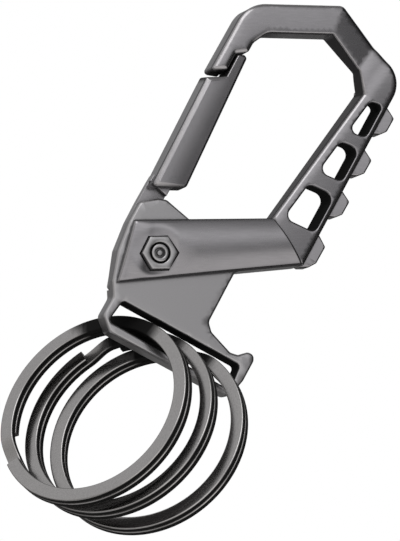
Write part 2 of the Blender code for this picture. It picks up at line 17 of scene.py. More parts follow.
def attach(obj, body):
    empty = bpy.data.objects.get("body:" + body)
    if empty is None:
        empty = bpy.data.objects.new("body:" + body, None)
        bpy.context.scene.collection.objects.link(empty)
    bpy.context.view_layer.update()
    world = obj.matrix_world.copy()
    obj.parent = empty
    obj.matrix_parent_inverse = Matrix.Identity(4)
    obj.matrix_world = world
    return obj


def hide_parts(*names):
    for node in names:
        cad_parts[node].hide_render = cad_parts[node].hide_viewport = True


bl_info = {
    "name": "Carabiner keychain",
    "version": (1, 0, 0),
    "blender": (4, 5, 0),
    "location": "View3D > Sidebar > Carabiner",
    "description": "Builds the hook, gate, ring plate, pivot and split rings over the CAD frame",
    "category": "Object",
}

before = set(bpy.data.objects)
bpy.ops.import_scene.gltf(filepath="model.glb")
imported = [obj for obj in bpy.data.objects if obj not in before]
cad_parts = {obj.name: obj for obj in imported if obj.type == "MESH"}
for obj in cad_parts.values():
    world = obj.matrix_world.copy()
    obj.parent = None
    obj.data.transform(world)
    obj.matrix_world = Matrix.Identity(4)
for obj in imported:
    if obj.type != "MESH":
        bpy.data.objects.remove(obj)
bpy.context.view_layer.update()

# Arcs: their longest step, and the turn below which a corner stays as it is
ARC_STEP = math.radians(6.1)
STRAIGHT = math.radians(1)

# Rounded rims: their rows, and how far they go from a quarter circle towards a chamfer
RIM_STEPS = 4
CHAMFER = 0.4
GATE_CHAMFER = 0.85

# At a sharp corner an inset is divided by no less than this
SHARPEST = 0.4

# Shares of its step by which a face's grid stays clear of rims and creases, and a crease's own margin
RIM_CLEAR = 0.6
CREASE_CLEAR = 0.4
CREASE_MARGIN = 0.00015

# Sides of round bores, and of the screw and the wider rounds about it
BORE_SIDES = 48
ROUND_SIDES = 72

# Shares of a wall's depth from which it counts as its front part, and as its front edge
FRONT_PART = 0.9
FRONT_EDGE = 0.95

# Corners nearer to each other than this are one, and nearer than the second share their marks
SAME_CORNER = 0.0000001
SAME_MARKS = 0.000001

# How far a cutter runs past a face, and the room left between two pieces
OVERRUN = 0.001
PLAY = 0.0003

# Faces that meet at more than this many degrees keep a sharp edge between them
SHARP_ANGLE = 32
GATE_SHARP_ANGLE = 26

# Marks that each corner of a piece carries for its material: worn edges, and shade painted on walls
MARKS = ("edge", "wall")

# Shares of the hook's width from its left side and of its drop below the bar's seat
APEX_SHARE = 0.513
PIVOT_SHARE = (0.236, 1.013)

# Corners of the hook and their radii, outside from the foot of the right bar to the nose's chin
HOOK_OUTER = {
    "foot": ((1.0, 0.764), 0.0),
    "right": ((1.0, 0.0), 0.0061),
    "shoulder": ((0.776, -0.045), 0.0030),
    "peak": ((0.487, -0.108), 0.0016),
    "nose": ((0.0, 0.079), 0.0060),
    "chin": ((0.0, 0.358), 0.0004),
}

# The same inside, from the nose's tip past its lap and along the bar to the root of the right bar
HOOK_INNER = {
    "tip": ((0.078, 0.320), 0.0004),
    "notch": ((0.078, 0.258), 0.0004),
    "lap": ((0.136, 0.228), 0.0008),
    "heel": ((0.136, 0.190), 0.0018),
    "throat": ((0.178, 0.1311), 0.0025),
    "apex": ((APEX_SHARE, 0.004), 0.0004),
    "crease": ((0.754, 0.057), 0.0003),
    "corner": ((0.838, 0.124), 0.0003),
    "root": ((0.714, 0.687), 0.0),
}

# Corners between root and foot, hidden in the arm
HOOK_FOOT = [(0.690, 0.780), (0.900, 0.795)]

# The outline's foot lies below the lowest tooth, so that the two don't end in one plane
FOOT_DROP = 0.0002

# Rims of the hook, width and height: outside, inside, and what they gain at the side and the right bar
OUTER_RIM = (0.00055, 0.00040)
INNER_RIM = (0.00032, 0.00030)
SIDE_RIM = (0.00025, 0.00015)
BAR_RIM = (0.00018, 0.00016)

# Widths that the rims gain right of the peak, and inside at the lap, left of a line
RIGHT_RIM = 0.00020
LAP_RIM = 0.0005
LAP_LINE = (0.2, 0.0)

# How dark the shade painted into the colour is, from 0 to 1, on the walls by the bevel, right bar, lap and
# top bar, under the chin, on the nose's side, in openings, along the arm's edges, and on the gate's ends
PAINTED_SHADES = {"bevel": 0.88, "bar edge": 0.86, "bar": 0.70, "lap": 0.85, "top": 0.25, "chin": 0.75, "side": 0.5,
          "opening": 1.0, "arm top": 0.9, "arm foot": 0.7, "arm end": 0.95, "gate": 0.9}

# Bevel past the top bar: its dip, the step up from it, and the step's run
BEVEL_DIP = 0.0009
STEP_RISE = 0.0001
STEP_RUN = 0.00028

# Shoulder past the step: a shelf and a slope, each with its depth and reach, and the reach of its lip
SHELF = (0.00025, 0.0022)
SLOPE = (0.0002, 0.006)
LIP_REACH = 0.0009

# Swell of the nose's face, and where it begins
NOSE_DOME = 0.00015
NOSE_BEND = (0.25, 0.11)

# Groove where the arm meets the right bar
GROOVE = 0.00026
GROOVE_WIDTH = 0.00030

# What leans towards the back: the right bar's inner wall, the left sides of nose and gate, and the lap
WALL_LEAN = 0.0005
SIDE_LEAN = 0.0002
FINGER_LEAN = 0.0004

# How far the nose's tip drops, and the gate's top rises, towards the back
NOSE_DROP = 0.0008
GATE_TOP_RISE = 0.0008

# Grip teeth: where each begins and ends, and their corners by reach and drop, with the radii of these;
# then their reach, root, half depth at the bar, slope of their front and rim
TOOTH_SHARES = [(0.106, 0.216), (0.281, 0.389), (0.453, 0.559), (0.631, 0.764)]
TOOTH_PROFILE = [(0.0, 0.05), (0.86, 0.26), (0.84, 0.76), (0.48, 0.97), (0.0, 1.08)]
TOOTH_RADII = [0.0, 0.0, 0.0005, 0.0006, 0.0006, 0.0, 0.0]
TOOTH_REACH = 0.0024
TOOTH_ROOT = 0.0012
TOOTH_HALF = 0.0015
TOOTH_SLOPE = 0.14
TOOTH_RIM = 0.00032

# Openings of the right bar: where each begins and ends, the line they follow, their radii, the metal
# left and right of them, and how much lower their left corners lie
BAR_SLOTS = [(0.122, 0.254), (0.305, 0.437), (0.497, 0.645)]
SLOT_LINE = [(0.841, 0.132), (0.714, 0.687)]
SLOT_RADII = [0.0012, 0.0016, 0.0011, 0.0013]
SLOT_LEFT_BAR = 0.0015
SLOT_RIGHT_BAR = 0.00112
SLOT_SKEW = 0.0008

# How far the openings widen at their mouths, and lean towards the back
SLOT_FLARE = 0.00038
SLOT_DRAFT = 0.0003

# The arm: its left and right ends, its rims, its cheeks beside the fork and how far the fork is cut past
# the plate, and how far along the arm its swell grows, and from what share
ARM_LEFT = [(0.032, 0.954), (0.117, 1.172)]
ARM_RIGHT = [(0.714, 0.687), (0.990, 0.772)]
ARM_RIM = 0.00045
ARM_END_RIM = 0.00030
FORK_CHEEK = 0.0008
FORK_REACH = 0.0067
SWELL_RUN = 0.004
SWELL_START = 0.25

# Rows of the arm: the number across it, the step and number of the fine ones from its left end, and the
# number of wide ones up to a gap before its end rim; then how far its skirt is sunk, and its end tucked
# into the right bar
ARM_ROWS = 24
ARM_STEP = 0.0005
ARM_FINE_STEPS = 21
ARM_WIDE_STEPS = 12
ARM_END_GAP = 0.0002
ARM_SKIRT = 0.0006
ARM_TUCK = 0.00005

# Dish in the arm round the nut: its depth, reach, and shift from the pivot
ARM_DISH = 0.00052
ARM_DISH_REACH = 0.0038
ARM_DISH_SHIFT = (-0.0005, 0.0002)

# The gate's block and the radii of its corners, then its tail, its neck, and the tail's room in the plate
GATE_BLOCK = [((0.0, 0.385), 0.0006), ((0.098, 0.344), 0.0002), ((0.095, 0.258), 0.0005),
              ((0.126, 0.242), 0.0004), ((0.149, 0.246), 0.0006), ((0.205, 0.756), 0.0008),
              ((0.027, 0.820), 0.0006)]
TAIL_LEFT = [(0.0145, 0.790), (0.014, 0.880), (0.018, 0.962), (0.040, 1.066), (0.093, 1.150), (0.114, 1.186)]
TAIL_RIGHT = [(0.166, 1.180), (0.250, 1.050), (0.250, 0.950), (0.140, 0.850), (0.136, 0.750)]
GATE_NECK = [(0.016, 0.770), (0.0145, 0.797), (0.137, 0.812), (0.137, 0.750)]
TAIL_ROOM = [(-0.031, 1.210), (0.195, 1.183), (0.413, 1.036), (0.413, 0.771)]
TAIL_THICKNESS = 0.00185
TAIL_RADIUS = 0.0006
TAIL_RIM = 0.00012
NECK_THICKNESS = 0.0028
NECK_RIM = 0.0001

# The gate's face: a ridge along its left edge, then a fall that straightens at a share of its width
GATE_RIDGE_TOP = (0.0, 0.390)
GATE_RIDGE = 0.000085
GATE_WIDTH = 0.0055
GATE_FALL = 0.00050
GATE_BEND = 0.75

# The gate's rims, width and height: at its left edge, what they lose to the right, and along its lap
GATE_RIM = (0.00090, 0.00055)
GATE_RIM_LOSS = (0.00050, 0.00020)
GATE_LAP_RIM = 0.00014

# The pivot: radii of its bore, shank, head and the head's room
BORE_RADIUS = 0.00165
SHANK_RADIUS = 0.0015
HEAD_RADIUS = 0.00275
HEAD_ROOM = 0.00305

# The gate's eye: the spring's gap and wire in its pocket, the wall round that, and the pocket's floor
SPRING_GAP = 0.0005
SPRING_WIRE = 0.00032
EYE_WALL = 0.0014
POCKET_FLOOR = 0.00065

# Depths at the pivot: the cheek under the nut, and how far the nut and the head stand out of it
NUT_CHEEK = 0.0006
NUT_RISE = 0.0016
HEAD_RISE = 0.0015

# The nut's rim, bore and the bore's sides, the room across its flats, and how its recess widens: at its
# mouth, then at two depths
NUT_RIM = 0.00016
NUT_BORE = 0.00178
NUT_BORE_SIDES = 64
NUT_ROOM = 0.0004
RECESS_MOUTH = 0.0006
RECESS_STEPS = [(0.0038, 0.0002), (0.0035, 0.0)]

# The screw's dimpled end, from its middle out: radius, depth behind the tip, wear
SCREW_END = [(0.0, 0.00030, 0.0), (0.00040, 0.00034, 0.0), (0.00058, 0.00062, 0.0), (0.00074, 0.00064, 0.0),
             (0.00090, 0.00010, 0.5), (0.00098, 0.00002, 1.0), (0.00106, 0.0, 0.0),
             (SHANK_RADIUS - 0.00020, 0.0, 0.0), (SHANK_RADIUS - 0.00006, 0.00006, 1.0),
             (SHANK_RADIUS, 0.00020, 0.0)]

# The screw's head: its rim, and the hexagon socket's width, depth, lip and corners
HEAD_RIM = 0.0002
SOCKET_FLATS = 0.0020
SOCKET_DEPTH = 0.0007
SOCKET_LIP = 0.0001
SOCKET_CORNER = 0.00005

# Shares of the plate's width right of its left side, and of its drop below its datum
PLATE_DATUM = (0.25, 1.0)
PLATE_LEFT = 0.123
PLATE_CROWN = [(-0.146, -0.110), (-0.146, -0.348), (-0.052, -0.488), (0.0, -0.524),
               (0.198, -0.476), (0.460, -0.439)]
PLATE_KEY = [(0.616, -0.400), (0.616, -0.130)]
PLATE_SIDE = [(0.620, 0.345), (0.668, 0.420), (0.838, 0.500), (0.893, 0.478), (0.940, 0.392),
              (0.982, 0.392), (1.0, 0.445), (1.0, 0.680)]
PLATE_NECK = [(0.0, 0.660), (-0.055, 0.520), (-0.118, 0.215)]
PLATE_RADIUS = 0.0012
PLATE_RIM = 0.00045

# The ring slot: its roof, the sides of its floor, and how much taller it is than a ring's wire
SLOT_ROOF = [(0.070, 0.646), (0.928, 0.573)]
SLOT_FLOOR = [0.052, 0.944]
SLOT_SPARE = 0.0018
SLOT_TAPER = 0.00028
SLOT_RADIUS = 0.0007

# The rail under the slot: where its foot and heel stand, its thickness at each, and its left corner
FOOT_SHARE = 0.972
HEEL_SHARE = 0.090
FOOT_BAR = 0.00123
HEEL_BAR = 0.0017
HEEL_RISE = 0.00197

# Rings: places along the rail, then degrees of turn, lean and split
RING_SHARES = [0.25, 0.46473, 0.68947]
RING_TURNS = [-52.0, -52.0, -47.2]
RING_LEANS = [-1.5, -3.0, -3.0]
RING_SPLITS = [236.0, 147.0, 95.0]

# Rings: half the gap between their coils, the wire's corners with their steps and wear, and its faces'
# wear, steps in a turn, and room above the rail
COIL_GAP = 0.000075
WIRE_CORNER = 0.00022
WIRE_STEPS = 3
CORNER_WEAR = 0.8
FACE_WEAR = 0.1
RING_STEPS = 128
RAIL_ROOM = 0.0006

# The stretch of a ring that the slot shades: how far below its seat, in front of the middle and behind
# it, and how softly it begins in height and depth
SHADED_DROP = 0.0030
SHADED_FRONT = 0.0045
SHADED_BACK = 0.0095
SHADED_SOFT = (0.0010, 0.0015)

# Degrees that a ring's ramp takes, its steps, and the degrees between the wire's two ends
RAMP = 20
RAMP_STEPS = 10
END_GAP = 3

# Studio tent, by degrees: brightness round it at the height of the object, upwards in front, how far
# round counts as front, and upwards at the sides
TENT_AROUND = [(-180, 0.30), (-150, 0.30), (-125, 0.45), (-110, 0.8), (-97, 1.0), (-60, 1.0), (-45, 1.3),
               (-27, 1.6), (-8, 1.45), (0, 1.38), (6, 1.30), (13, 1.03), (19, 0.70), (25, 0.38), (31, 0.14),
               (38, 0.06), (60, 0.04), (125, 0.04), (150, 0.12), (180, 0.30)]
TENT_UPWARD = [(-80, 0.3), (0, 0.8), (8, 0.75), (14, 0.85), (18, 1.0), (31, 1.28), (41, 0.8), (51, 0.33),
               (66, 0.28), (90, 0.30)]
TENT_FRONT = [(60, 1), (90, 0)]
TENT_SIDES = [(-40, 0.4), (-20, 1), (45, 1), (70, 0.6)]

# Its low band in front: brightness upwards, then how far that band reaches up and round
TENT_LOW = [(-50, 0.45), (-25, 1.5)]
TENT_LOW_TOP = [(-3, 1), (8, 0)]
TENT_LOW_ENDS = [(-60, 0), (-30, 1), (50, 1), (75, 0)]

# Its back: brightness upwards, and where it begins; then how warm it is, from the ground up
TENT_BACK = [(-60, 0.18), (-30, 0.30), (30, 0.30), (50, 0.54)]
TENT_BACK_ENDS = [(125, 0), (150, 1)]
TENT_WARM = [(-30, 1), (-5, 1), (12, 0)]
WARM_RED = 0.015
WARM_BLUE = 0.02

# Its soft shades: place, depth (below zero it is a light) and reach
TENT_SHADES = [((140.0, -8.0), 0.75, 24.0), ((-167.0, 17.0), -0.6, 15.0)]

# Its size, the degrees between its corners, its lowest row, and how near to white it is left open
TENT_RADIUS = 1.7
TENT_STEP = 4
TENT_FOOT = -72
TENT_OPEN = 0.04

# Middle of the object, and the height of the floor
MIDDLE = Vector((0.0, 0.0, -0.05))
FLOOR_HEIGHT = -0.20

# The photograph's camera: the place it looks past, degrees of azimuth, elevation and roll, distance,
# how far across and up from that place it aims, its focal length and the image's height in pixels, and
# the size of its sensor in millimetres
PHOTO_CENTRE = (-0.00059, -0.0026, -0.026753)
PHOTO_AZIMUTH = -13.0
PHOTO_ELEVATION = -17.9
PHOTO_ROLL = -28.75
PHOTO_DISTANCE = 0.5
PHOTO_AIM = (-0.01046, -0.01895)
FOCAL_PIXELS = 2915
IMAGE_HEIGHT = 541
SENSOR_SIZE = 36

# Colour sockets of a Mix node
MIX_A = 6
MIX_B = 7
MIX_RESULT = 2


def length(name, default, description):
    """A size property, in metres."""
    return FloatProperty(name=name, default=default, description=description, unit="LENGTH",
                         precision=5, min=0.0)


def colour(name, default, description):
    """A colour property."""
    return FloatVectorProperty(name=name, default=default, description=description,
                               subtype="COLOR", size=3, min=0.0, max=1.0)


def factor(name, default, description):
    """A share from nothing to all."""
    return FloatProperty(name=name, default=default, description=description,
                         subtype="FACTOR", min=0.0, max=1.0)


class CarabinerSizes(bpy.types.PropertyGroup):
    """Sizes of the hook, gate, plate, pivot and rings."""

    hook_width: length("Hook width", 0.0308, "Left side to the outer face of the right bar")
    hook_drop: length("Hook drop", 0.0501, "Seat of the top bar to the pivot")
    bar_thickness: length("Bar thickness", 0.0052, "Depth of the hook's bar")
    outer_fall: length("Outer fall", 0.00025, "How much lower the bar's face is at its outer edge")
    arm_thickness: length("Arm thickness", 0.0084, "Depth of the arm at its crown")
    gate_thickness: length("Gate thickness", 0.0050, "Depth of the gate's block")
    plate_width: length("Plate width", 0.0268, "Width of the ring plate")
    plate_drop: length("Plate drop", 0.0164, "Height of the ring plate below the pivot")
    plate_thickness: length("Plate thickness", 0.0040, "Depth of the ring plate")
    nut_flats: length("Nut across flats", 0.0055, "Width of the hexagon nut")
    ring_radius: length("Ring radius", 0.0175, "Outer radius of a split ring")
    ring_wire: length("Ring wire width", 0.0023, "Width of the rings' flat wire")
    coil_thickness: length("Coil thickness", 0.0012, "Thickness of the rings' flat wire")


class CarabinerFinishes(bpy.types.PropertyGroup):
    """Colours and finishes of the metals."""

    gunmetal: colour("Gunmetal", (0.205, 0.199, 0.208), "Plated hook")
    gate_metal: colour("Gate metal", (0.235, 0.228, 0.238), "Plated gate")
    plate_metal: colour("Plate metal", (0.280, 0.275, 0.283), "Plated ring plate")
    dark_steel: colour("Dark steel", (0.270, 0.266, 0.272), "Nut and screw")
    spring_steel: colour("Spring steel", (0.420, 0.415, 0.420), "Gate spring")
    ring_steel: colour("Ring steel", (0.262, 0.255, 0.254), "Split rings")
    worn_metal: colour("Worn metal", (0.420, 0.405, 0.400), "Edges where the plating has thinned")
    # Near-black colour painted as shade on the walls of openings and in crevices
    wall_shade_colour: colour("Painted wall shade", (0.006, 0.006, 0.006), "Near-black colour painted as shade in openings and crevices")
    wear: factor("Edge wear", 0.35, "How far the edges have worn")


def sizes():
    """The size settings."""
    return bpy.context.scene.carabiner_sizes


def finishes():
    """The colour settings."""
    return bpy.context.scene.carabiner_finishes


def hook_point(share):
    """A point of the hook's plane from its shares."""
    return Vector(((share[0] - APEX_SHARE) * sizes().hook_width, -share[1] * sizes().hook_drop))


def plate_point(share):
    """A point of the ring plate's plane from its shares."""
    datum = hook_point(PLATE_DATUM)
    return datum + Vector(((share[0] - PLATE_LEFT) * sizes().plate_width, -share[1] * sizes().plate_drop))


def slot_corners():
    """The ring slot: roof left, roof right, floor right, floor left."""
    height = sizes().ring_wire + SLOT_SPARE
    roof_left, roof_right = [plate_point(share) for share in SLOT_ROOF]
    floor_left = Vector((plate_point((SLOT_FLOOR[0], 0.0)).x, roof_left.y - height))
    floor_right = Vector((plate_point((SLOT_FLOOR[1], 0.0)).x, roof_right.y - height - SLOT_TAPER))
    return [roof_left, roof_right, floor_right, floor_left]


def plate_corners():
    """The ring plate's outline, from its crown clockwise."""
    floor_right, floor_left = slot_corners()[2:]
    foot = Vector((plate_point((FOOT_SHARE, 0.0)).x, floor_right.y - FOOT_BAR))
    heel = Vector((plate_point((HEEL_SHARE, 0.0)).x, floor_left.y - HEEL_BAR))
    left = Vector((plate_point((0.0, 0.0)).x, heel.y + HEEL_RISE))
    sides = [plate_point(share) for share in PLATE_CROWN + PLATE_KEY + PLATE_SIDE]
    return sides + [foot, heel, left] + [plate_point(share) for share in PLATE_NECK]


def rows_of(points):
    """Points as the rows of an array."""
    return np.array([list(p) for p in points])


def each(value, count):
    """A list of values from a list, or from one value for all."""
    return [value] * count if isinstance(value, float) else list(value)


def eased(share):
    """A share that leaves nothing and reaches all gently."""
    return share ** 2 * (3 - 2 * share)


def clamped(value):
    """A value kept between nothing and all."""
    return min(1.0, max(0.0, value))


def spokes(count, turn=0.0):
    """Unit vectors in even steps round a circle."""
    angles = [turn + math.tau * index / count for index in range(count)]
    return [Vector((math.cos(angle), math.sin(angle))) for angle in angles]


def level(points, depth):
    """Points of the plane, at a depth."""
    return [Vector((p.x, depth, p.y)) for p in points]


def fillet(before, corner, after, radius):
    """Points of an arc that rounds a corner and touches both of its sides."""
    back = (before - corner).normalized()
    ahead = (after - corner).normalized()
    half = back.angle(ahead) / 2
    if radius <= 0 or math.pi / 2 - half < STRAIGHT:
        return [corner]
    reach = min(radius / math.tan(half), (before - corner).length / 2, (after - corner).length / 2)
    radius = reach * math.tan(half)
    centre = corner + (back + ahead).normalized() * math.hypot(reach, radius)
    start = corner + back * reach - centre
    turn = (corner + ahead * reach - centre).angle_signed(start)
    steps = max(2, math.ceil(abs(turn) / ARC_STEP))
    return [centre + Matrix.Rotation(turn * step / steps, 2) @ start for step in range(steps + 1)]


def rounded(corners, radii):
    """A closed outline with its corners rounded, each by its own radius or all by one."""
    radii = each(radii, len(corners))
    points = []
    for index, corner in enumerate(corners):
        after = corners[(index + 1) % len(corners)]
        points += fillet(corners[index - 1], corner, after, radii[index])
    return points


def area(points):
    """Signed area of an outline, above zero if it runs anticlockwise from the front."""
    return sum(a.cross(b) for a, b in zip(points, points[1:] + points[:1])) / 2


def divided(points, step):
    """The outline with its long sides divided."""
    fine = []
    for start, end in zip(points, points[1:] + points[:1]):
        count = max(1, round((end - start).length / step))
        fine += [start.lerp(end, part / count) for part in range(count)]
    return fine


def inset(points, distances):
    """The outline moved to its left by one distance, or by each point's own."""
    moved = []
    distances = np.broadcast_to(distances, len(points))
    for index, point in enumerate(points):
        into = (point - points[index - 1]).normalized()
        out = (points[(index + 1) % len(points)] - point).normalized()
        left_in, left_out = Vector((-into.y, into.x)), Vector((-out.y, out.x))
        stretch = max(SHARPEST, 1 + left_in.dot(left_out))
        moved.append(point + (left_in + left_out) / stretch * float(distances[index]))
    return moved


def offset_ring(corners, radii, distance):
    """A convex outline with rounded corners, grown by a distance."""
    radii = each(radii, len(corners))
    if area(corners) < 0:
        corners, radii = corners[::-1], radii[::-1]
    return rounded(inset(corners, -distance), [radius + distance for radius in radii])


def inside(points, outline):
    """Which of the points lie inside an outline."""
    x, y = points[:, 0:1], points[:, 1:2]
    a = rows_of(outline)
    b = np.roll(a, -1, axis=0)
    crosses = (a[:, 1] > y) != (b[:, 1] > y)
    with np.errstate(divide="ignore", invalid="ignore"):
        at = a[:, 0] + (y - a[:, 1]) * (b[:, 0] - a[:, 0]) / (b[:, 1] - a[:, 1])
    return (crosses & (x < at)).sum(axis=1) % 2 == 1


def distance_to(points, line):
    """Distance of each point to an open line of points."""
    p, ends, nothing = points[:, None, :], rows_of(line), 1e-18
    a, b = ends[None, :-1], ends[None, 1:]
    along = np.clip(((p - a) * (b - a)).sum(2) / np.maximum(((b - a) ** 2).sum(2), nothing), 0, 1)
    return np.linalg.norm(p - a - along[..., None] * (b - a), axis=2).min(axis=1)


def fill(loops, inner_points, creases):
    """Triangles between the loops, with the inner points and crease lines kept as edges."""
    points, edges = [], []
    for loop in loops:
        first = len(points)
        points += loop
        edges += [(first + i, first + (i + 1) % len(loop)) for i in range(len(loop))]
    on_loops = len(points)
    for crease in creases:
        chain = []
        for place, point in enumerate(crease):
            if place in (0, len(crease) - 1):
                chain.append(min(range(on_loops), key=lambda i: (points[i] - point).length_squared))
            else:
                chain.append(len(points))
                points.append(point)
        edges += list(zip(chain, chain[1:]))
    points += inner_points
    in_millimetres, inside_only, nearest = [p * 1000 for p in points], 1, 1e-5
    places, _, faces, sources, _, _ = delaunay_2d_cdt(in_millimetres, edges, [], inside_only, nearest)
    centres = np.array([[sum(places[i][k] for i in f) / len(f) / 1000 for k in (0, 1)] for f in faces])
    keep = inside(centres, loops[0])
    for hole in loops[1:]:
        keep &= ~inside(centres, hole)
    return [p / 1000 for p in places], sources, [f for f, k in zip(faces, keep) if k]


def grid_points(loops, step):
    """Points of a grid inside an outline and outside its holes, clear of their edges."""
    outline = rows_of(loops[0])
    low, high = outline.min(0), outline.max(0)
    x, y = np.meshgrid(np.arange(low[0], high[0], step), np.arange(low[1], high[1], step))
    x = x + (np.arange(x.shape[0]) % 2)[:, None] * step / 2
    points = np.stack([x.ravel(), y.ravel()], axis=1)
    points = points[inside(points, loops[0])]
    for hole in loops[1:]:
        points = points[~inside(points, hole)]
    for loop in loops:
        points = points[distance_to(points, loop + loop[:1]) > step * RIM_CLEAR]
    return [Vector(p) for p in points]


def even_rim(size):
    """A rim as wide as it is high, the same all round."""
    return lambda loop: (np.full(len(loop), size), np.full(len(loop), size))


def rim_shares(k, chamfer=CHAMFER):
    """Shares of a rim's width and height at one of its rows, between a quarter circle and a chamfer."""
    angle, share = math.pi / 2 * k / RIM_STEPS, k / RIM_STEPS
    return ((1 - math.cos(angle)) * (1 - chamfer) + share * chamfer,
            (1 - math.sin(angle)) * (1 - chamfer) + (1 - share) * chamfer)


def untangled(row, heights):
    """A row and its heights, without the small loops it makes at corners tighter than its rim."""
    points, heights = rows_of(row), np.array(heights, float)
    longest_loop, margin, parallel = 40, 0.000001, 1e-16
    span = min(longest_loop, len(points) // 3)
    while span > 1:
        ahead = np.roll(points, -1, axis=0)
        start, end = np.roll(points, -span, axis=0), np.roll(ahead, -span, axis=0)
        side, other, away = ahead - points, end - start, start - points
        turn = side[:, 0] * other[:, 1] - side[:, 1] * other[:, 0]
        turn = np.where(np.abs(turn) < parallel, np.inf, turn)
        here = (away[:, 0] * other[:, 1] - away[:, 1] * other[:, 0]) / turn
        there = (away[:, 0] * side[:, 1] - away[:, 1] * side[:, 0]) / turn
        crossed = (here > margin) & (here < 1 - margin) & (there > margin) & (there < 1 - margin)
        crossed = np.nonzero(crossed)[0]
        if len(crossed) == 0:
            span -= 1
            continue
        first = crossed[0]
        members = [(first + 1 + k) % len(points) for k in range(span)]
        points[members] = points[first] + here[first] * side[first]
        heights[members] = heights[members].mean()
    return [Vector(p) for p in points], heights


def chain_inside(line, loop, step):
    """A crease line divided, without its points that lie outside a loop or close to it."""
    start, end = line
    count = math.ceil((end - start).length / step)
    points = [start.lerp(end, part / count) for part in range(count + 1)]
    places = rows_of(points)
    clear = inside(places, loop) & (distance_to(places, loop + loop[:1]) > CREASE_MARGIN)
    return [start] + [p for p, keep in zip(points, clear) if keep] + [end]


def blank():
    """An empty shape whose corners carry marks."""
    shape = bmesh.new()
    for mark in MARKS:
        shape.verts.layers.float.new(mark)
    return shape


def corner_at(shape, place, *values):
    """A corner of a shape with its marks."""
    vertex = shape.verts.new(place)
    for mark, value in zip(MARKS, values):
        vertex[shape.verts.layers.float[mark]] = value
    return vertex


def bridge(shape, rings):
    """Faces between each ring of corners and the next, in a fan where one is a single corner."""
    for low, high in zip(rings, rings[1:]):
        count = max(len(low), len(high))
        for i in range(count):
            j = (i + 1) % count
            corners = [low[i % len(low)], low[j % len(low)], high[j % len(high)], high[i % len(high)]]
            shape.faces.new(list(dict.fromkeys(corners)))


def mesh_of(name, shape):
    """A mesh with a shape's faces."""
    mesh = bpy.data.meshes.new(name)
    shape.to_mesh(mesh)
    shape.free()
    return mesh


def placed(name, data):
    """An object in the scene for a mesh, lamp or camera."""
    made = bpy.data.objects.new(name, data)
    bpy.context.scene.collection.objects.link(made)
    return made


def finished(name, shape):
    """An object for a closed shape, its faces turned out."""
    bmesh.ops.recalc_face_normals(shape, faces=shape.faces)
    return placed(name, mesh_of(name, shape))


def rim_rows(shape, loop, depth, sign, rim, chamfer):
    """Rows of corners from a wall to a face, with their outlines; the sign is 1 in front, -1 behind."""
    widths, heights = rim(loop)
    rows = []
    for k in range(RIM_STEPS + 1):
        across, down = rim_shares(k, chamfer)
        row, lows = untangled(inset(loop, widths * across), heights)
        depths = depth(rows_of(row)) + lows * down * sign
        worn = math.sin(math.pi * k / RIM_STEPS)
        rows.append(([corner_at(shape, (p.x, y, p.y), worn) for p, y in zip(row, depths)], row))
    return rows


def wall_chain(shape, back_rows, front_rows, loop, wall_rows, wall):
    """Rows of corners from the back face to the front one, with the wall's own rows and their marks of
    painted shade.
    """
    chain = [made for made, _ in reversed(back_rows)]
    near, far = front_rows[0][0], back_rows[0][0]
    for share in wall_rows:
        chain.append([corner_at(shape, low.co.lerp(high.co, share)) for low, high in zip(far, near)])
    if wall:
        layer = shape.verts.layers.float["wall"]
        for row, share in zip(chain[RIM_STEPS:] + [near], (0.0, *wall_rows, 1.0)):
            for vertex, value in zip(row, wall(rows_of(loop), share)):
                vertex[layer] = value
    return chain + [made for made, _ in front_rows]


def cover(shape, rows, depth, creases, grid):
    """Closes a face inside its innermost rows, on a grid and along its creases."""
    loops = [row for _, row in rows]
    extra = grid_points(loops, grid) if grid else []
    if creases and extra:
        close = np.min([distance_to(rows_of(extra), crease) for crease in creases], axis=0)
        extra = [p for p, away in zip(extra, close) if away > grid * CREASE_CLEAR]
    places, sources, faces = fill(loops, extra, [chain_inside(crease, loops[0], grid) for crease in creases])
    known = [vertex for made, _ in rows for vertex in made]
    verts = []
    for place, source, y in zip(places, sources, depth(rows_of(places))):
        found = [s for s in source if s < len(known)]
        verts.append(known[found[0]] if found else corner_at(shape, (place.x, y, place.y)))
    for face in faces:
        corners = [verts[i] for i in face]
        if len(set(corners)) > 2 and shape.faces.get(corners) is None:
            shape.faces.new(corners)


def relief(name, outline, front, back, rim, holes=(), creases=(), grid=0.0, step=0.0008, wall_rows=(),
           wall=None, chamfer=CHAMFER):
    """A closed piece between two depth functions, its rims rounded and its walls straight."""
    rim = even_rim(rim) if isinstance(rim, float) else rim
    loops = [divided(list(line), step) for line in (outline, *holes)]
    for index, loop in enumerate(loops):
        if (area(loop) > 0) == (index > 0):
            loop.reverse()
    shape = blank()
    front_rims = [rim_rows(shape, loop, front, 1, rim, chamfer) for loop in loops]
    back_rims = [rim_rows(shape, loop, back, -1, rim, chamfer) for loop in loops]
    for loop, back_rows, front_rows in zip(loops, back_rims, front_rims):
        bridge(shape, wall_chain(shape, back_rows, front_rows, loop, wall_rows, wall))
    for rims, depth in ((front_rims, front), (back_rims, back)):
        cover(shape, [rows[-1] for rows in rims], depth, creases, grid)
    bmesh.ops.remove_doubles(shape, verts=shape.verts, dist=SAME_CORNER)
    return finished(name, shape)


def flat(depth):
    """A depth function with one depth."""
    return lambda points: np.full(len(points), depth)


def loft(name, sections, marks=None):
    """A solid skinned through closed sections of as many points each, with marks for each point."""
    shape = blank()
    rings = []
    for section, values in zip(sections, marks or [[()] * len(section) for section in sections]):
        rings.append([corner_at(shape, point, *value) for point, value in zip(section, values)])
    bridge(shape, rings)
    shape.faces.new(rings[0])
    shape.faces.new(rings[-1])
    return finished(name, shape)


def prism(name, centre, radius, sides, front, back):
    """A round or many-sided solid along Y."""
    corners = [centre + spoke * radius for spoke in spokes(sides)]
    return loft(name, [level(corners, y) for y in (front, back)])


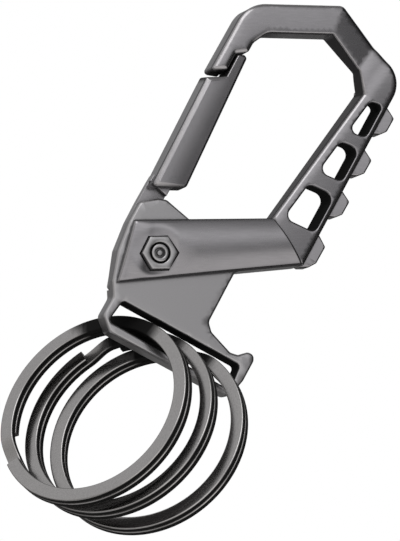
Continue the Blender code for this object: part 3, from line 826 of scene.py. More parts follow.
def turned(name, profile, centre, steps=ROUND_SIDES):
    """A solid turned about the Y axis through a centre; each profile point is radius, depth, wear."""
    shape = blank()
    rings = []
    for radius, y, worn in profile:
        angles = [math.tau * step / steps for step in range(steps)] if radius > 0 else [0.0]
        places = [(centre.x + radius * math.cos(a), y, centre.y + radius * math.sin(a)) for a in angles]
        rings.append([corner_at(shape, place, worn) for place in places])
    bridge(shape, rings)
    return finished(name, shape)


def flared_cutter(name, corners, radii, face, flare):
    """A cutter through the piece whose mouths widen in rounded rims that follow both its faces."""
    clear, sunk_in = 0.00002, 0.00003
    levels = [(-OVERRUN, flare + clear)]
    for k in range(RIM_STEPS, -1, -1):
        across, down = rim_shares(k)
        levels.append((flare * down - sunk_in, flare * across))
    sections = []
    for sign, order in ((1, levels), (-1, levels[::-1])):
        for sunk, grow in order:
            ring = offset_ring(corners, radii, grow)
            if sign < 0:
                ring = [p - Vector((SLOT_DRAFT, -SLOT_DRAFT)) for p in ring]
            depths = face(rows_of(ring)) + sunk
            if sunk == -OVERRUN:
                depths = np.full(len(ring), depths.min())
            sections.append([Vector((p.x, y * sign, p.y)) for p, y in zip(ring, depths)])
    return loft(name, sections)


def combine(target, tools, operation):
    """Joins tools to a piece or cuts them out of it, keeps the marks of its corners, removes the tools."""
    corners = []
    for piece in [target] + tools:
        layers = [piece.data.attributes[mark].data for mark in MARKS]
        for index, vertex in enumerate(piece.data.vertices):
            corners.append((vertex.co.copy(), [layer[index].value for layer in layers]))
    near = KDTree(len(corners))
    for index, (place, _) in enumerate(corners):
        near.insert(place, index)
    near.balance()
    for tool in tools:
        modifier = target.modifiers.new(tool.name, "BOOLEAN")
        modifier.operation = operation
        modifier.solver = "EXACT"
        modifier.object = tool
    graph = bpy.context.evaluated_depsgraph_get()
    mesh = bpy.data.meshes.new_from_object(target.evaluated_get(graph))
    target.modifiers.clear()
    old = target.data
    target.data = mesh
    bpy.data.meshes.remove(old)
    values = []
    for vertex in mesh.vertices:
        _, index, away = near.find(vertex.co)
        values.append(corners[index][1] if away < SAME_MARKS else [0.0, 0.0])
    for mark, column in zip(MARKS, zip(*values)):
        mesh.attributes[mark].data.foreach_set("value", column)
    for tool in tools:
        bpy.data.objects.remove(tool)


def paint_wall_shade(piece, shade):
    """Marks the walls of openings, from 0 to 1, so that shade can be painted darker into their colour."""
    mesh = piece.data
    places = np.zeros(len(mesh.vertices) * 3)
    mesh.vertices.foreach_get("co", places)
    places = places.reshape(-1, 3)
    layer = mesh.attributes["wall"].data
    values = np.zeros(len(places), np.float32)
    layer.foreach_get("value", values)
    values = np.maximum(values, shade(places[:, [0, 2]], places[:, 1]))
    layer.foreach_set("value", values.astype(np.float32))


def settle(piece, body, material, node, angle=SHARP_ANGLE):
    """Final shading, material and place in the model for a piece."""
    face_weight = 60
    mesh = piece.data
    mesh.name = piece.name
    mesh.materials.clear()
    mesh.materials.append(material)
    mesh.polygons.foreach_set("material_index", [0] * len(mesh.polygons))
    mesh.shade_smooth()
    mesh.set_sharp_from_angle(angle=math.radians(angle))
    modifier = piece.modifiers.new("even shading", "WEIGHTED_NORMAL")
    modifier.keep_sharp = True
    modifier.weight = face_weight
    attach(piece, body)
    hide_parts(node)


def mirrored(front):
    """The depth function of a back that is like the front."""
    return lambda points: -front(points)


def hook_outline():
    """The hook's outline, and its named corners outside and inside."""
    outer = {name: hook_point(share) for name, (share, _) in HOOK_OUTER.items()}
    inner = {name: hook_point(share) for name, (share, _) in HOOK_INNER.items()}
    outer["foot"] = outer["foot"] + Vector((0.0, -FOOT_DROP))
    corners = [*outer.values(), *inner.values()] + [hook_point(share) for share in HOOK_FOOT]
    radii = [radius for _, radius in [*HOOK_OUTER.values(), *HOOK_INNER.values()]] + [0.0, 0.0]
    return rounded(corners, radii), outer, inner


def sides_of(points, outer, inner):
    """Distances of points to the hook's outer and inner lines."""
    return distance_to(points, list(outer.values())), distance_to(points, list(inner.values()))


def hook_rims(outer, inner):
    """Width and height of the hook's rounded rims: wide outside, narrow inside, wide by the right bar."""
    low, high = inner["corner"].y, inner["crease"].y
    lap_right = hook_point(LAP_LINE).x
    right_run, lap_run, side_run, window = 0.006, 0.004, 0.002, np.ones(5) / 5

    def rim(loop):
        points = rows_of(loop)
        x, z = points[:, 0], points[:, 1]
        out, within = sides_of(points, outer, inner)
        right = np.clip((x - outer["peak"].x) / right_run, 0, 1)
        down = np.clip((high - z) / (high - low), 0, 1) * (x > outer["peak"].x)
        lap = np.clip((z - low) / -lap_run, 0, 1) * (x < lap_right)
        side = np.clip((outer["nose"].x + side_run - x) / side_run, 0, 1)
        inner_width = INNER_RIM[0] + BAR_RIM[0] * down + LAP_RIM * lap
        widths = np.where(out < within, OUTER_RIM[0] + RIGHT_RIM * right + SIDE_RIM[0] * side, inner_width)
        heights = np.where(out < within, OUTER_RIM[1] + SIDE_RIM[1] * side, INNER_RIM[1] + BAR_RIM[1] * down)
        return [np.convolve(np.concatenate([a[-2:], a, a[:2]]), window, "valid") for a in (widths, heights)]

    return rim


def hook_walls(outer, inner):
    """Shade painted on the hook's walls: most at the bevel and the lap, and along their front edge."""
    throat, bar_left, bar_top = inner["throat"].x, inner["apex"].x + 0.0002, inner["corner"].y - 0.0004
    top_run, chin_reach, side_reach = 0.004, 0.0003, 0.0006

    def wall(points, share):
        out, within = sides_of(points, outer, inner)
        x, z = points[:, 0], points[:, 1]
        bar, middle = ("bar edge", "lap") if share > FRONT_PART else ("bar", "top")
        top = np.interp(x, (throat, throat + top_run), (PAINTED_SHADES["lap"], PAINTED_SHADES[middle]))
        regions = [(x > bar_left) & (z > bar_top), x > inner["apex"].x, x > inner["heel"].x]
        side = np.where((x < outer["nose"].x + side_reach) & (share > FRONT_EDGE), PAINTED_SHADES["side"], 0.0)
        marked = np.select(regions, [PAINTED_SHADES["bevel"], PAINTED_SHADES[bar], top], PAINTED_SHADES["lap"])
        chin = distance_to(points, [outer["chin"], inner["tip"]]) < chin_reach
        return np.where(chin, PAINTED_SHADES["chin"], np.where(within < out, marked, side))

    return wall


def hook_face(outer, inner):
    """Depth of the hook's front: it falls to the outer edge, and dips along the bevel past the top bar."""
    half, fall = sizes().bar_thickness / 2, sizes().outer_fall
    shelf, shelf_reach = SHELF
    slope, slope_reach = SLOPE
    nothing, nose_run, groove_top = 1e-9, 0.003, 0.0004
    apex, crease = (inner["apex"], outer["peak"]), (inner["crease"], outer["shoulder"])
    bend = hook_point(NOSE_BEND)
    end = [np.array(hook_point(share)) for share in ARM_RIGHT]
    along = (end[1] - end[0]) / np.linalg.norm(end[1] - end[0])
    across = np.array([-along[1], along[0]])

    def past(points, line):
        """How far points lie past a line."""
        way = (line[1] - line[0]).normalized()
        return (points - np.array(line[0])) @ np.array([way.y, -way.x])

    def shoulder(beyond):
        """How low the face is past the step: a shelf that folds up, a slope, and the step's lip."""
        fold = np.clip(beyond / shelf_reach - 1, 0, 1)
        low = shelf * (1 - eased(fold)) + slope * np.exp(-(beyond / slope_reach) ** 1.5)
        return low + (BEVEL_DIP - STEP_RISE - shelf - slope) * np.exp(-beyond / LIP_REACH)

    def depth(points):
        out, into = sides_of(points, outer, inner)
        share = np.maximum(out + into, nothing)
        down, beyond = past(points, apex), past(points, crease)
        bevel = BEVEL_DIP * np.clip(down / np.maximum(down - beyond, nothing), 0, 1)
        step = np.clip(1 + beyond / STEP_RUN, 0, 1)
        dip = np.where(down > 0, bevel * (1 - step) + shoulder(np.maximum(beyond, 0)) * step, 0.0)
        nose = np.clip((bend.y - points[:, 1]) / nose_run, 0, 1) * (points[:, 0] < bend.x)
        past_end = (points - end[0]) @ across
        groove = GROOVE * np.clip(1 - past_end / GROOVE_WIDTH, 0, 1) * (points[:, 1] < end[0][1] + groove_top)
        return fall * (into / share) ** 1.6 + dip + NOSE_DOME * nose * (out / share) ** 3 + groove - half

    back_a_step = (crease[0] - apex[0]).normalized() * -STEP_RUN
    edge = [Vector(point) for point in end]
    beside = [point + Vector(across) * GROOVE_WIDTH for point in edge]
    return depth, [apex, [point + back_a_step for point in crease], crease, edge, beside]


def tooth(index, top_share, bottom_share):
    """A grip tooth rooted in the bar's outer edge."""
    top, bottom = hook_point((1.0, top_share)), hook_point((1.0, bottom_share))
    root = Vector((TOOTH_ROOT, 0.0))
    corners = [top.lerp(bottom, drop) + Vector((TOOTH_REACH * reach, 0.0)) for reach, drop in TOOTH_PROFILE]
    corners = [corners[0] - root] + corners + [corners[-1] - root]

    def front(points):
        return -TOOTH_HALF - TOOTH_SLOPE * (points[:, 0] - top.x)

    return relief(f"tooth_{index}", rounded(corners, TOOTH_RADII), front, mirrored(front), TOOTH_RIM)


def bar_slot(top_share, bottom_share):
    """The corners of an opening in the right bar."""
    high, low = [hook_point(share) for share in SLOT_LINE]
    right = hook_point((1.0, 0.0)).x - SLOT_RIGHT_BAR
    lean = (high.x - low.x) / (high.y - low.y)
    rows = [hook_point((0.0, share)).y for share in (top_share, bottom_share)]
    left = [Vector((high.x + SLOT_LEFT_BAR + (row - high.y) * lean, row - SLOT_SKEW)) for row in rows]
    return [left[0], Vector((right, rows[0])), Vector((right, rows[1])), left[1]]


def arm_edge_half():
    """Half the arm's depth at its edges."""
    return sizes().plate_thickness / 2 + PLAY + FORK_CHEEK


def arm_levels(run):
    """Places along the arm: distance from its left end, drop of its rims, and wear."""
    rims = [(*rim_shares(k), math.sin(math.pi * k / RIM_STEPS)) for k in range(RIM_STEPS + 1)]
    levels = [(ARM_RIM * across, -ARM_RIM * down, worn) for across, down, worn in rims]
    places = [ARM_STEP * k for k in range(2, ARM_FINE_STEPS + 1)]
    fine_end = ARM_STEP * ARM_FINE_STEPS
    left_over = run - ARM_END_RIM - fine_end - ARM_END_GAP
    places += [fine_end + left_over * k / ARM_WIDE_STEPS for k in range(1, ARM_WIDE_STEPS + 1)]
    levels += [(place, 0.0, 0.0) for place in places]
    levels += [(run - ARM_END_RIM * across, -ARM_END_RIM * down, 0.0) for across, down, _ in reversed(rims)]
    return levels + [(run + ARM_TUCK, sizes().bar_thickness / 2 - arm_edge_half() - ARM_SKIRT, 0.0)]


def arm_swell(place):
    """Share of the arm's swell at a distance along it: low at the left end, whole past it."""
    return SWELL_START + (1 - SWELL_START) * eased(min(1.0, place / SWELL_RUN))


def arm_band():
    """The raised arm, swelling to a crown and dished round the nut."""
    top_left, bottom_left = [hook_point(share) for share in ARM_LEFT]
    top_right, bottom_right = [hook_point(share) for share in ARM_RIGHT]
    run = (bottom_right - bottom_left).length
    edge, rise = arm_edge_half(), sizes().arm_thickness / 2 - arm_edge_half()
    middle = hook_point(PIVOT_SHARE) + Vector(ARM_DISH_SHIFT)
    sections, marks = [], []
    for place, lowered, worn in arm_levels(run):
        top, bottom = top_left.lerp(top_right, place / run), bottom_left.lerp(bottom_right, place / run)
        rim = ARM_RIM / (bottom - top).length
        swell = 0.0 if place > run else arm_swell(place)
        upper = [(0.0, -ARM_RIM - ARM_SKIRT)]
        for k in range(RIM_STEPS + 1):
            across, down = rim_shares(k)
            upper.append((rim * across, -ARM_RIM * down))
        front = upper + [(rim + (1 - 2 * rim) * k / ARM_ROWS, 0.0) for k in range(1, ARM_ROWS)]
        front += [(1 - at, drop) for at, drop in reversed(upper)]
        half = []
        for at, drop in front:
            point = top.lerp(bottom, at)
            dish = ARM_DISH * math.exp(-((point - middle).length / ARM_DISH_REACH) ** 6)
            above = abs((point - top_left).cross((top_right - top_left).normalized()))
            below = abs((point - bottom_left).cross((bottom_right - bottom_left).normalized()))
            crown = rise * swell * (1 - ((above - below) / (above + below)) ** 2)
            half.append((point, edge + lowered + drop + crown - dish))
        ahead = [Vector((p.x, -y, p.y)) for p, y in half]
        sections.append(ahead + [Vector((p.x, y, p.y)) for p, y in reversed(half)])
        across_arm = [0.0] + [worn] * (len(front) - 2) + [0.0]
        marks.append([(value,) for value in across_arm * 2])
    return loft("arm_band", sections, marks)


def fork_cutter():
    """The mortise in the arm that takes the ring plate and the gate's tail."""
    key_high, key_low = [plate_point(share) for share in PLATE_KEY]
    crown = [plate_point(share) for share in PLATE_CROWN]
    side = plate_point(PLATE_SIDE[0])
    left, top = crown[0].x - FORK_REACH, crown[3].y + FORK_REACH
    bottom = plate_point(PLATE_NECK[0]).y
    gap, across = Vector((PLAY, PLAY)), Vector((PLAY, 0.0))
    corners = [Vector((left, top)), Vector((crown[4].x, top)), crown[4] + gap, crown[5] + gap,
               key_high + gap, key_low + across, side + across, Vector((side.x, bottom)) + across,
               Vector((left, bottom))]
    half = sizes().plate_thickness / 2 + PLAY
    return loft("fork", [level(corners, y) for y in (-half, half)])


def hex_corners(flats):
    """Corners of a hexagon on the pivot, two flats along the arm's upper edge."""
    along = hook_point(ARM_RIGHT[0]) - hook_point(ARM_LEFT[0])
    turn = math.atan2(along.y, along.x)
    return [hook_point(PIVOT_SHARE) + spoke * flats / math.sqrt(3) for spoke in spokes(6, turn)]


def pivot_depths():
    """Depths of the recess floor, the nut's back and front, and the screw head's front and back."""
    floor = sizes().plate_thickness / 2 + PLAY + NUT_CHEEK
    return floor, -floor - PLAY, -floor - NUT_RISE, floor + PLAY, floor + HEAD_RISE


def lean_hook(hook, outer, inner):
    """Leans the right bar's wall and the nose's side, and drops the nose's tip, towards the back."""
    half = sizes().bar_thickness / 2
    corner, root, nose, tip = inner["corner"], inner["root"], outer["nose"], inner["tip"]
    left = outer["chin"].x
    wall_reach, lead_in = 0.0003, 0.15
    side_reach, side_run = 0.0006, 0.004
    tip_reach, tip_height, tip_run = 0.0002, 0.0012, 0.0010
    for vertex in hook.data.vertices:
        place = Vector((vertex.co.x, vertex.co.z))
        along = (corner.y - place.y) / (corner.y - root.y)
        away = abs((place - corner).cross((root - corner).normalized()))
        behind = clamped((vertex.co.y + half) / (2 * half))
        if -lead_in < along < 1.0 and away < wall_reach:
            vertex.co.x -= WALL_LEAN * min(1, (along + lead_in) / lead_in) * (1 - along) * behind
        if place.x < nose.x + side_reach and place.y < nose.y + side_run:
            vertex.co.x -= SIDE_LEAN * min(1, (nose.y + side_run - place.y) / side_run) * behind
        if place.x < tip.x + tip_reach and place.y < tip.y + tip_height:
            low = min(1, (tip.y + tip_height - place.y) / tip_run)
            vertex.co.z -= NOSE_DROP * low * max(0, (place.x - left) / (tip.x - left)) * behind


def build_hook():
    """The cast hook with its openings, teeth and forked arm."""
    outline, outer, inner = hook_outline()
    front, creases = hook_face(outer, inner)
    hook = relief("hook_body", outline, front, mirrored(front), hook_rims(outer, inner), creases=creases,
                  grid=0.0006, step=0.00045, wall_rows=(0.4, 0.8), wall=hook_walls(outer, inner))
    lean_hook(hook, outer, inner)
    teeth = [tooth(index + 1, *shares) for index, shares in enumerate(TOOTH_SHARES)]
    combine(hook, [arm_band()] + teeth, "UNION")
    openings = [bar_slot(*shares) for shares in BAR_SLOTS]
    cutters = []
    for index, corners in enumerate(openings):
        cutters.append(flared_cutter(f"bar_slot_{index + 1}", corners, SLOT_RADII, front, SLOT_FLARE))
    pivot, floor = hook_point(PIVOT_SHARE), pivot_depths()[0]
    crown = sizes().arm_thickness / 2 + OVERRUN
    flats = sizes().nut_flats + NUT_ROOM
    steps = [(crown, RECESS_MOUTH), *RECESS_STEPS, (floor, 0.0)]
    recess = loft("nut_recess", [level(hex_corners(flats + grow), -depth) for depth, grow in steps])
    bore = prism("bore", pivot, BORE_RADIUS, BORE_SIDES, -crown, crown)
    head = prism("head_room", pivot, HEAD_ROOM, ROUND_SIDES, floor, crown)
    combine(hook, cutters + [fork_cutter(), recess, bore, head], "DIFFERENCE")
    paint_wall_shade(hook, hook_shades(openings, flats))
    return hook


def hook_shades(openings, flats):
    """Shade painted on the hook in its openings and the nut's recess, and along the arm's edges and end."""
    half = sizes().bar_thickness / 2
    slot_grow, recess_corner, recess_grow = 0.0005, 0.0001, 0.00008
    edge_reach, end_reach, edge_height, flare_share = 0.0002, 0.00032, 0.00065, 0.8
    walls = [offset_ring(corners, SLOT_RADII, slot_grow) for corners in openings]
    walls.append(offset_ring(hex_corners(flats), recess_corner, recess_grow))
    above, below = [[hook_point(left), hook_point(right)] for left, right in zip(ARM_LEFT, ARM_RIGHT)]
    end = [above[1], below[1]]

    def shade(places, depths):
        sunk = np.abs(depths) < half - SLOT_FLARE * flare_share
        marked = np.any([inside(places, wall) for wall in walls], axis=0) & sunk
        rims = np.abs(depths) > arm_edge_half() - edge_height
        upper = (distance_to(places, above) < edge_reach) & rims
        lower = (distance_to(places, below) < edge_reach) & rims
        right = (distance_to(places, end) < end_reach) & (np.abs(depths) > half)
        shades = [PAINTED_SHADES[name] for name in ("opening", "arm top", "arm foot", "arm end")]
        return np.select([marked, upper, lower, right], shades, 0.0)

    return shade


def gate_across(points):
    """How far points lie right of the gate's left edge, as the face is measured."""
    toe = hook_point(GATE_BLOCK[-1][0])
    along = np.array((hook_point(GATE_RIDGE_TOP) - toe).normalized())
    return (points - np.array(toe)) @ np.array([along[1], -along[0]])


def lean_gate(gate, top, finger):
    """Raises the gate's top, and leans its side and its lap, towards the back."""
    half = sizes().gate_thickness / 2
    top_run, side_reach, lap_reach, rise_from = 0.0022, 0.0006, 0.0004, 0.8
    for vertex in gate.data.vertices:
        place = Vector((vertex.co.x, vertex.co.z))
        below = (place - top).cross((finger - top).normalized())
        near = clamped(1 - below / top_run) * clamped((finger.x - place.x) / top_run)
        vertex.co.z += GATE_TOP_RISE * near * max(0.0, (vertex.co.y + half * rise_from) / (2 * half))
        behind = clamped((vertex.co.y + half) / (2 * half))
        if gate_across(np.array(place)) < side_reach:
            vertex.co.x -= SIDE_LEAN * behind
        if abs(place.x - finger.x) < lap_reach and place.y > finger.y - lap_reach:
            vertex.co.x -= FINGER_LEAN * behind


def build_gate():
    """The gate's block, its lap, neck, tail and eye."""
    half = sizes().gate_thickness / 2
    corners = [hook_point(share) for share, _ in GATE_BLOCK]
    outline = rounded(corners, [radius for _, radius in GATE_BLOCK])
    lap_reach, end_reach = 0.0004, 0.0006

    def front(points):
        share = np.maximum(gate_across(points) / GATE_WIDTH, 0)
        near = np.minimum(share, GATE_BEND)
        fall = near ** 2.2 + 2.2 * GATE_BEND ** 1.2 * (share - near)
        return -half + GATE_FALL * fall + GATE_RIDGE * np.clip(1 - share * 4, 0, 1) ** 2.5

    def rim(loop):
        points = rows_of(loop)
        share = np.clip(gate_across(points) / GATE_WIDTH, 0, 1)
        lap = distance_to(points, corners[1:3]) < lap_reach
        sizes_there = [size - loss * share for size, loss in zip(GATE_RIM, GATE_RIM_LOSS)]
        return [np.where(lap, GATE_LAP_RIM, size) for size in sizes_there]

    # Shade painted on the gate's end walls, and on its left side by the front edge
    def wall(points, share):
        ends = np.minimum(distance_to(points, corners[:4]), distance_to(points, corners[5:7])) < end_reach
        side = distance_to(points, [corners[6], corners[0]]) < end_reach
        return np.where(ends | side & (share > FRONT_EDGE), PAINTED_SHADES["gate"], 0.0)

    gate = relief("gate_body", outline, front, mirrored(front), rim, grid=0.0007, wall_rows=(0.1, 0.9),
                  wall=wall, chamfer=GATE_CHAMFER)
    lean_gate(gate, corners[0], corners[1])
    pivot = hook_point(PIVOT_SHARE)
    back = sizes().plate_thickness / 2
    tail_front = back - TAIL_THICKNESS
    tail = rounded([hook_point(share) for share in TAIL_LEFT + TAIL_RIGHT], TAIL_RADIUS)
    blade = relief("tail", tail, flat(tail_front), flat(back), TAIL_RIM)
    pocket = BORE_RADIUS + SPRING_GAP + SPRING_WIRE + PLAY
    eye = prism("eye", pivot, pocket + EYE_WALL, ROUND_SIDES, tail_front, back)
    neck = [hook_point(share) for share in GATE_NECK]
    web = relief("neck", neck, flat(back - NECK_THICKNESS), flat(back), NECK_RIM)
    combine(gate, [blade, eye, web], "UNION")
    bore = prism("gate_bore", pivot, BORE_RADIUS, BORE_SIDES, tail_front - OVERRUN, back + OVERRUN)
    room = prism("pocket", pivot, pocket, BORE_SIDES, tail_front - OVERRUN, back - POCKET_FLOOR)
    combine(gate, [bore, room], "DIFFERENCE")
    return gate


def build_plate():
    """The ring plate with its slot, horn and the room for the gate's tail."""
    half = sizes().plate_thickness / 2
    outline = rounded(plate_corners(), PLATE_RADIUS)
    slot = rounded(slot_corners(), SLOT_RADIUS)
    plate = relief("plate_body", outline, flat(-half), flat(half), PLATE_RIM, holes=[slot], grid=0.0009)
    room = [hook_point(share) for share in TAIL_ROOM]
    room.append(Vector((room[0].x, room[-1].y)))
    front = half - TAIL_THICKNESS - PLAY
    cutter = loft("room", [level(room, y) for y in (front, half + OVERRUN)])
    pivot, through = hook_point(PIVOT_SHARE), half + OVERRUN
    bore = prism("plate_bore", pivot, BORE_RADIUS, BORE_SIDES, -through, through)
    combine(plate, [cutter, bore], "DIFFERENCE")
    # Shade painted on the walls of the ring slot
    wall_reach, rim_depth = 0.00025, 0.00012
    grown = inset(slot, -wall_reach if area(slot) > 0 else wall_reach)
    paint_wall_shade(plate, lambda places, depths: inside(places, grown) & (np.abs(depths) < half - rim_depth))
    return plate


def build_nut():
    """The hexagon nut, its rims turned off and its bore open."""
    _, back, front, _, _ = pivot_depths()
    bore = [hook_point(PIVOT_SHARE) + spoke * NUT_BORE for spoke in spokes(NUT_BORE_SIDES)]
    return relief("nut_body", hex_corners(sizes().nut_flats), flat(front), flat(back), NUT_RIM, holes=[bore])


def build_screw():
    """The pivot screw: dimpled end in front, socket head behind."""
    _, _, tip, head_front, head_back = pivot_depths()
    profile = [(radius, tip + depth, worn) for radius, depth, worn in SCREW_END]
    profile += [(SHANK_RADIUS, head_front, 0.0), (HEAD_RADIUS, head_front, 0.0)]
    for k in range(RIM_STEPS + 1):
        angle = math.pi / 2 * k / RIM_STEPS
        radius = HEAD_RADIUS - HEAD_RIM * (1 - math.cos(angle))
        profile.append((radius, head_back - HEAD_RIM * (1 - math.sin(angle)), math.sin(2 * angle)))
    profile.append((0.0, head_back, 0.0))
    screw = turned("screw_body", profile, hook_point(PIVOT_SHARE))
    corners = hex_corners(SOCKET_FLATS)
    steps = [(-SOCKET_DEPTH, 0.0), (-SOCKET_LIP, 0.0), (0.0, SOCKET_LIP), (OVERRUN, SOCKET_LIP)]
    sections = [level(offset_ring(corners, SOCKET_CORNER, grow), head_back + depth) for depth, grow in steps]
    combine(screw, [loft("socket", sections)], "DIFFERENCE")
    return screw


def ring_seat(index):
    """Where a ring's seat lies on the rail."""
    _, _, right, left = slot_corners()
    return left.lerp(right, RING_SHARES[index])


def ring_matrix(index):
    """Where a ring hangs on the rail, its axis along local Z."""
    turn, lean, split = [math.radians(a[index]) for a in (RING_TURNS, RING_LEANS, RING_SPLITS)]
    seat = ring_seat(index)
    right = Vector((math.cos(turn), math.sin(turn), 0.0))
    flat_axis = right.cross(Vector((0.0, 0.0, 1.0)))
    up = Vector((0.0, 0.0, math.cos(lean))) + flat_axis * math.sin(lean)
    axis = right.cross(up)
    inner = sizes().ring_radius - sizes().ring_wire
    half_axial = sizes().coil_thickness + COIL_GAP
    reach = (sizes().plate_thickness / 2 + half_axial * abs(axis.y)) / abs(right.y)
    sag = inner - math.sqrt(inner ** 2 - reach ** 2)
    lift = sag + half_axial * abs(math.sin(lean)) + RAIL_ROOM
    centre = Vector((seat.x, 0.0, seat.y + lift)) - up * inner
    place = Matrix((right, up, axis)).transposed().to_4x4()
    return Matrix.Translation(centre) @ place @ Matrix.Rotation(split, 4, "Z")


def wire_section():
    """The flat wire's section: places out from its middle and up, and marks: wear, and shade painted on its
    inner and outer sides.
    """
    wide, thick = sizes().ring_wire / 2 - WIRE_CORNER, sizes().coil_thickness / 2 - WIRE_CORNER
    section, marks = [], []
    for sx, sz, start in ((1, -1, -90), (1, 1, 0), (-1, 1, 90), (-1, -1, 180)):
        for k in range(WIRE_STEPS + 1):
            angle = math.radians(start + 90 / WIRE_STEPS * k)
            out, up = WIRE_CORNER * math.cos(angle), WIRE_CORNER * math.sin(angle)
            section.append((sx * wide + out, sz * thick + up))
            worn = CORNER_WEAR if 0 < k < WIRE_STEPS else FACE_WEAR
            # The wire's inner and outer sides carry painted shade
            marks.append((worn, 1.0 if abs(math.cos(angle)) > 0.99 else 0.0))
    return section, marks


def build_ring(index):
    """A split ring: nearly two turns of flat wire that cross over on a short ramp."""
    section, marks = wire_section()
    middle, rise = sizes().ring_radius - sizes().ring_wire / 2, sizes().coil_thickness / 2 + COIL_GAP
    ramp = math.radians(RAMP)
    ramp_start = math.tau - ramp
    end = math.tau + ramp_start - math.radians(END_GAP)
    turns = [math.tau * step / RING_STEPS for step in range(2 * RING_STEPS)]
    angles = [angle for angle in turns if angle < ramp_start]
    angles += [ramp_start + ramp * k / RAMP_STEPS for k in range(RAMP_STEPS + 1)]
    angles += [angle for angle in turns[RING_STEPS + 1:] if angle < end] + [end]
    sections = []
    for angle in angles:
        height = rise * math.cos(math.pi * clamped((angle - ramp_start) / ramp))
        places = [(middle + out, height + up) for out, up in section]
        sections.append([(radius * math.cos(angle), radius * math.sin(angle), up) for radius, up in places])
    piece = loft(f"ring_{index + 1}_wire", sections, [marks] * len(sections))
    piece.data.transform(ring_matrix(index))
    seat = ring_seat(index).y

    # Shade of the slot painted onto the stretch of the ring that passes through it
    def in_slot(places, depths):
        high = np.clip((places[:, 1] - seat + SHADED_DROP) / SHADED_SOFT[0], 0, 1)
        behind = np.clip((depths + SHADED_FRONT) / SHADED_SOFT[1], 0, 1)
        return high * behind * np.clip((SHADED_BACK - depths) / SHADED_SOFT[1], 0, 1)

    paint_wall_shade(piece, in_slot)
    return piece


def node_at(tree, kind, place, inputs=None, **settings):
    """A shader node at its place, with its settings and the values of its inputs."""
    node = tree.nodes.new(kind)
    node.location = place
    for name, value in settings.items():
        setattr(node, name, value)
    for socket, value in (inputs or {}).items():
        node.inputs[socket].default_value = value
    return node


def connect(tree, *routes):
    """Links nodes: each route is a node and its output, then a node and its input."""
    for source, output, target, entry in routes:
        tree.links.new(source.outputs[output], target.inputs[entry])


def maths(tree, operation, place, inputs=None, clamp=False):
    """A Math node."""
    return node_at(tree, "ShaderNodeMath", place, inputs, operation=operation, use_clamp=clamp)


def spread(tree, place, ends, **settings):
    """A Map Range node that takes the middle of a noise to a range of its own."""
    low, high = ends
    inputs = {"From Min": 0.3, "From Max": 0.7, "To Min": low, "To Max": high}
    return node_at(tree, "ShaderNodeMapRange", place, inputs, **settings)


def new_group(name, inputs, outputs):
    """A shader node group with number sockets, and its two end nodes."""
    group = bpy.data.node_groups.new(name, "ShaderNodeTree")
    for label, value in inputs.items():
        socket = group.interface.new_socket(name=label, in_out="INPUT", socket_type="NodeSocketFloat")
        socket.default_value = value
    for label in outputs:
        group.interface.new_socket(name=label, in_out="OUTPUT", socket_type="NodeSocketFloat")
    return group, node_at(group, "NodeGroupInput", (-900, 0)), node_at(group, "NodeGroupOutput", (400, 0))


def fine_grain(name):
    """Fine grain of a tumbled and plated surface: a mask for tone and height, and one for gloss."""
    group, into, out = new_group(name, {"Scale": 5000.0, "Stretch": 1.0, "Turn": 0.0}, ("Mask", "Patches"))
    place = node_at(group, "ShaderNodeTexCoord", (-900, 300))
    spin = node_at(group, "ShaderNodeVectorRotate", (-700, 200), rotation_type="Y_AXIS")
    stretch = node_at(group, "ShaderNodeCombineXYZ", (-700, -100), {"Y": 1.0, "Z": 1.0})
    scale = node_at(group, "ShaderNodeVectorMath", (-450, 100), operation="MULTIPLY")
    noise = node_at(group, "ShaderNodeTexNoise", (-200, 150), {"Detail": 3.0, "Roughness": 0.6})
    patches = node_at(group, "ShaderNodeTexNoise", (-200, -200), {"Scale": 180.0, "Detail": 2.0})
    connect(group, (place, "Object", spin, "Vector"), (into, "Turn", spin, "Angle"),
            (into, "Stretch", stretch, "X"), (spin, 0, scale, 0), (stretch, 0, scale, 1),
            (scale, 0, noise, "Vector"), (into, "Scale", noise, "Scale"), (noise, "Fac", out, "Mask"),
            (place, "Object", patches, "Vector"), (patches, "Fac", out, "Patches"))
    return group


def edge_wear(name):
    """Edges where the plating has thinned, broken up by noise."""
    group, into, out = new_group(name, {"Amount": 0.3}, ("Mask",))
    edge = node_at(group, "ShaderNodeAttribute", (-700, 200), attribute_name="edge")
    place = node_at(group, "ShaderNodeTexCoord", (-900, -200))
    noise = node_at(group, "ShaderNodeTexNoise", (-700, -200), {"Scale": 900.0, "Detail": 4.0})
    broken = spread(group, (-450, -200), (0.4, 1.0))
    both = maths(group, "MULTIPLY", (-200, 0))
    amount = maths(group, "MULTIPLY", (100, 0), clamp=True)
    connect(group, (place, "Object", noise, "Vector"), (noise, "Fac", broken, "Value"),
            (edge, "Fac", both, 0), (broken, "Result", both, 1), (both, 0, amount, 0),
            (into, "Amount", amount, 1), (amount, 0, out, "Mask"))
    return group


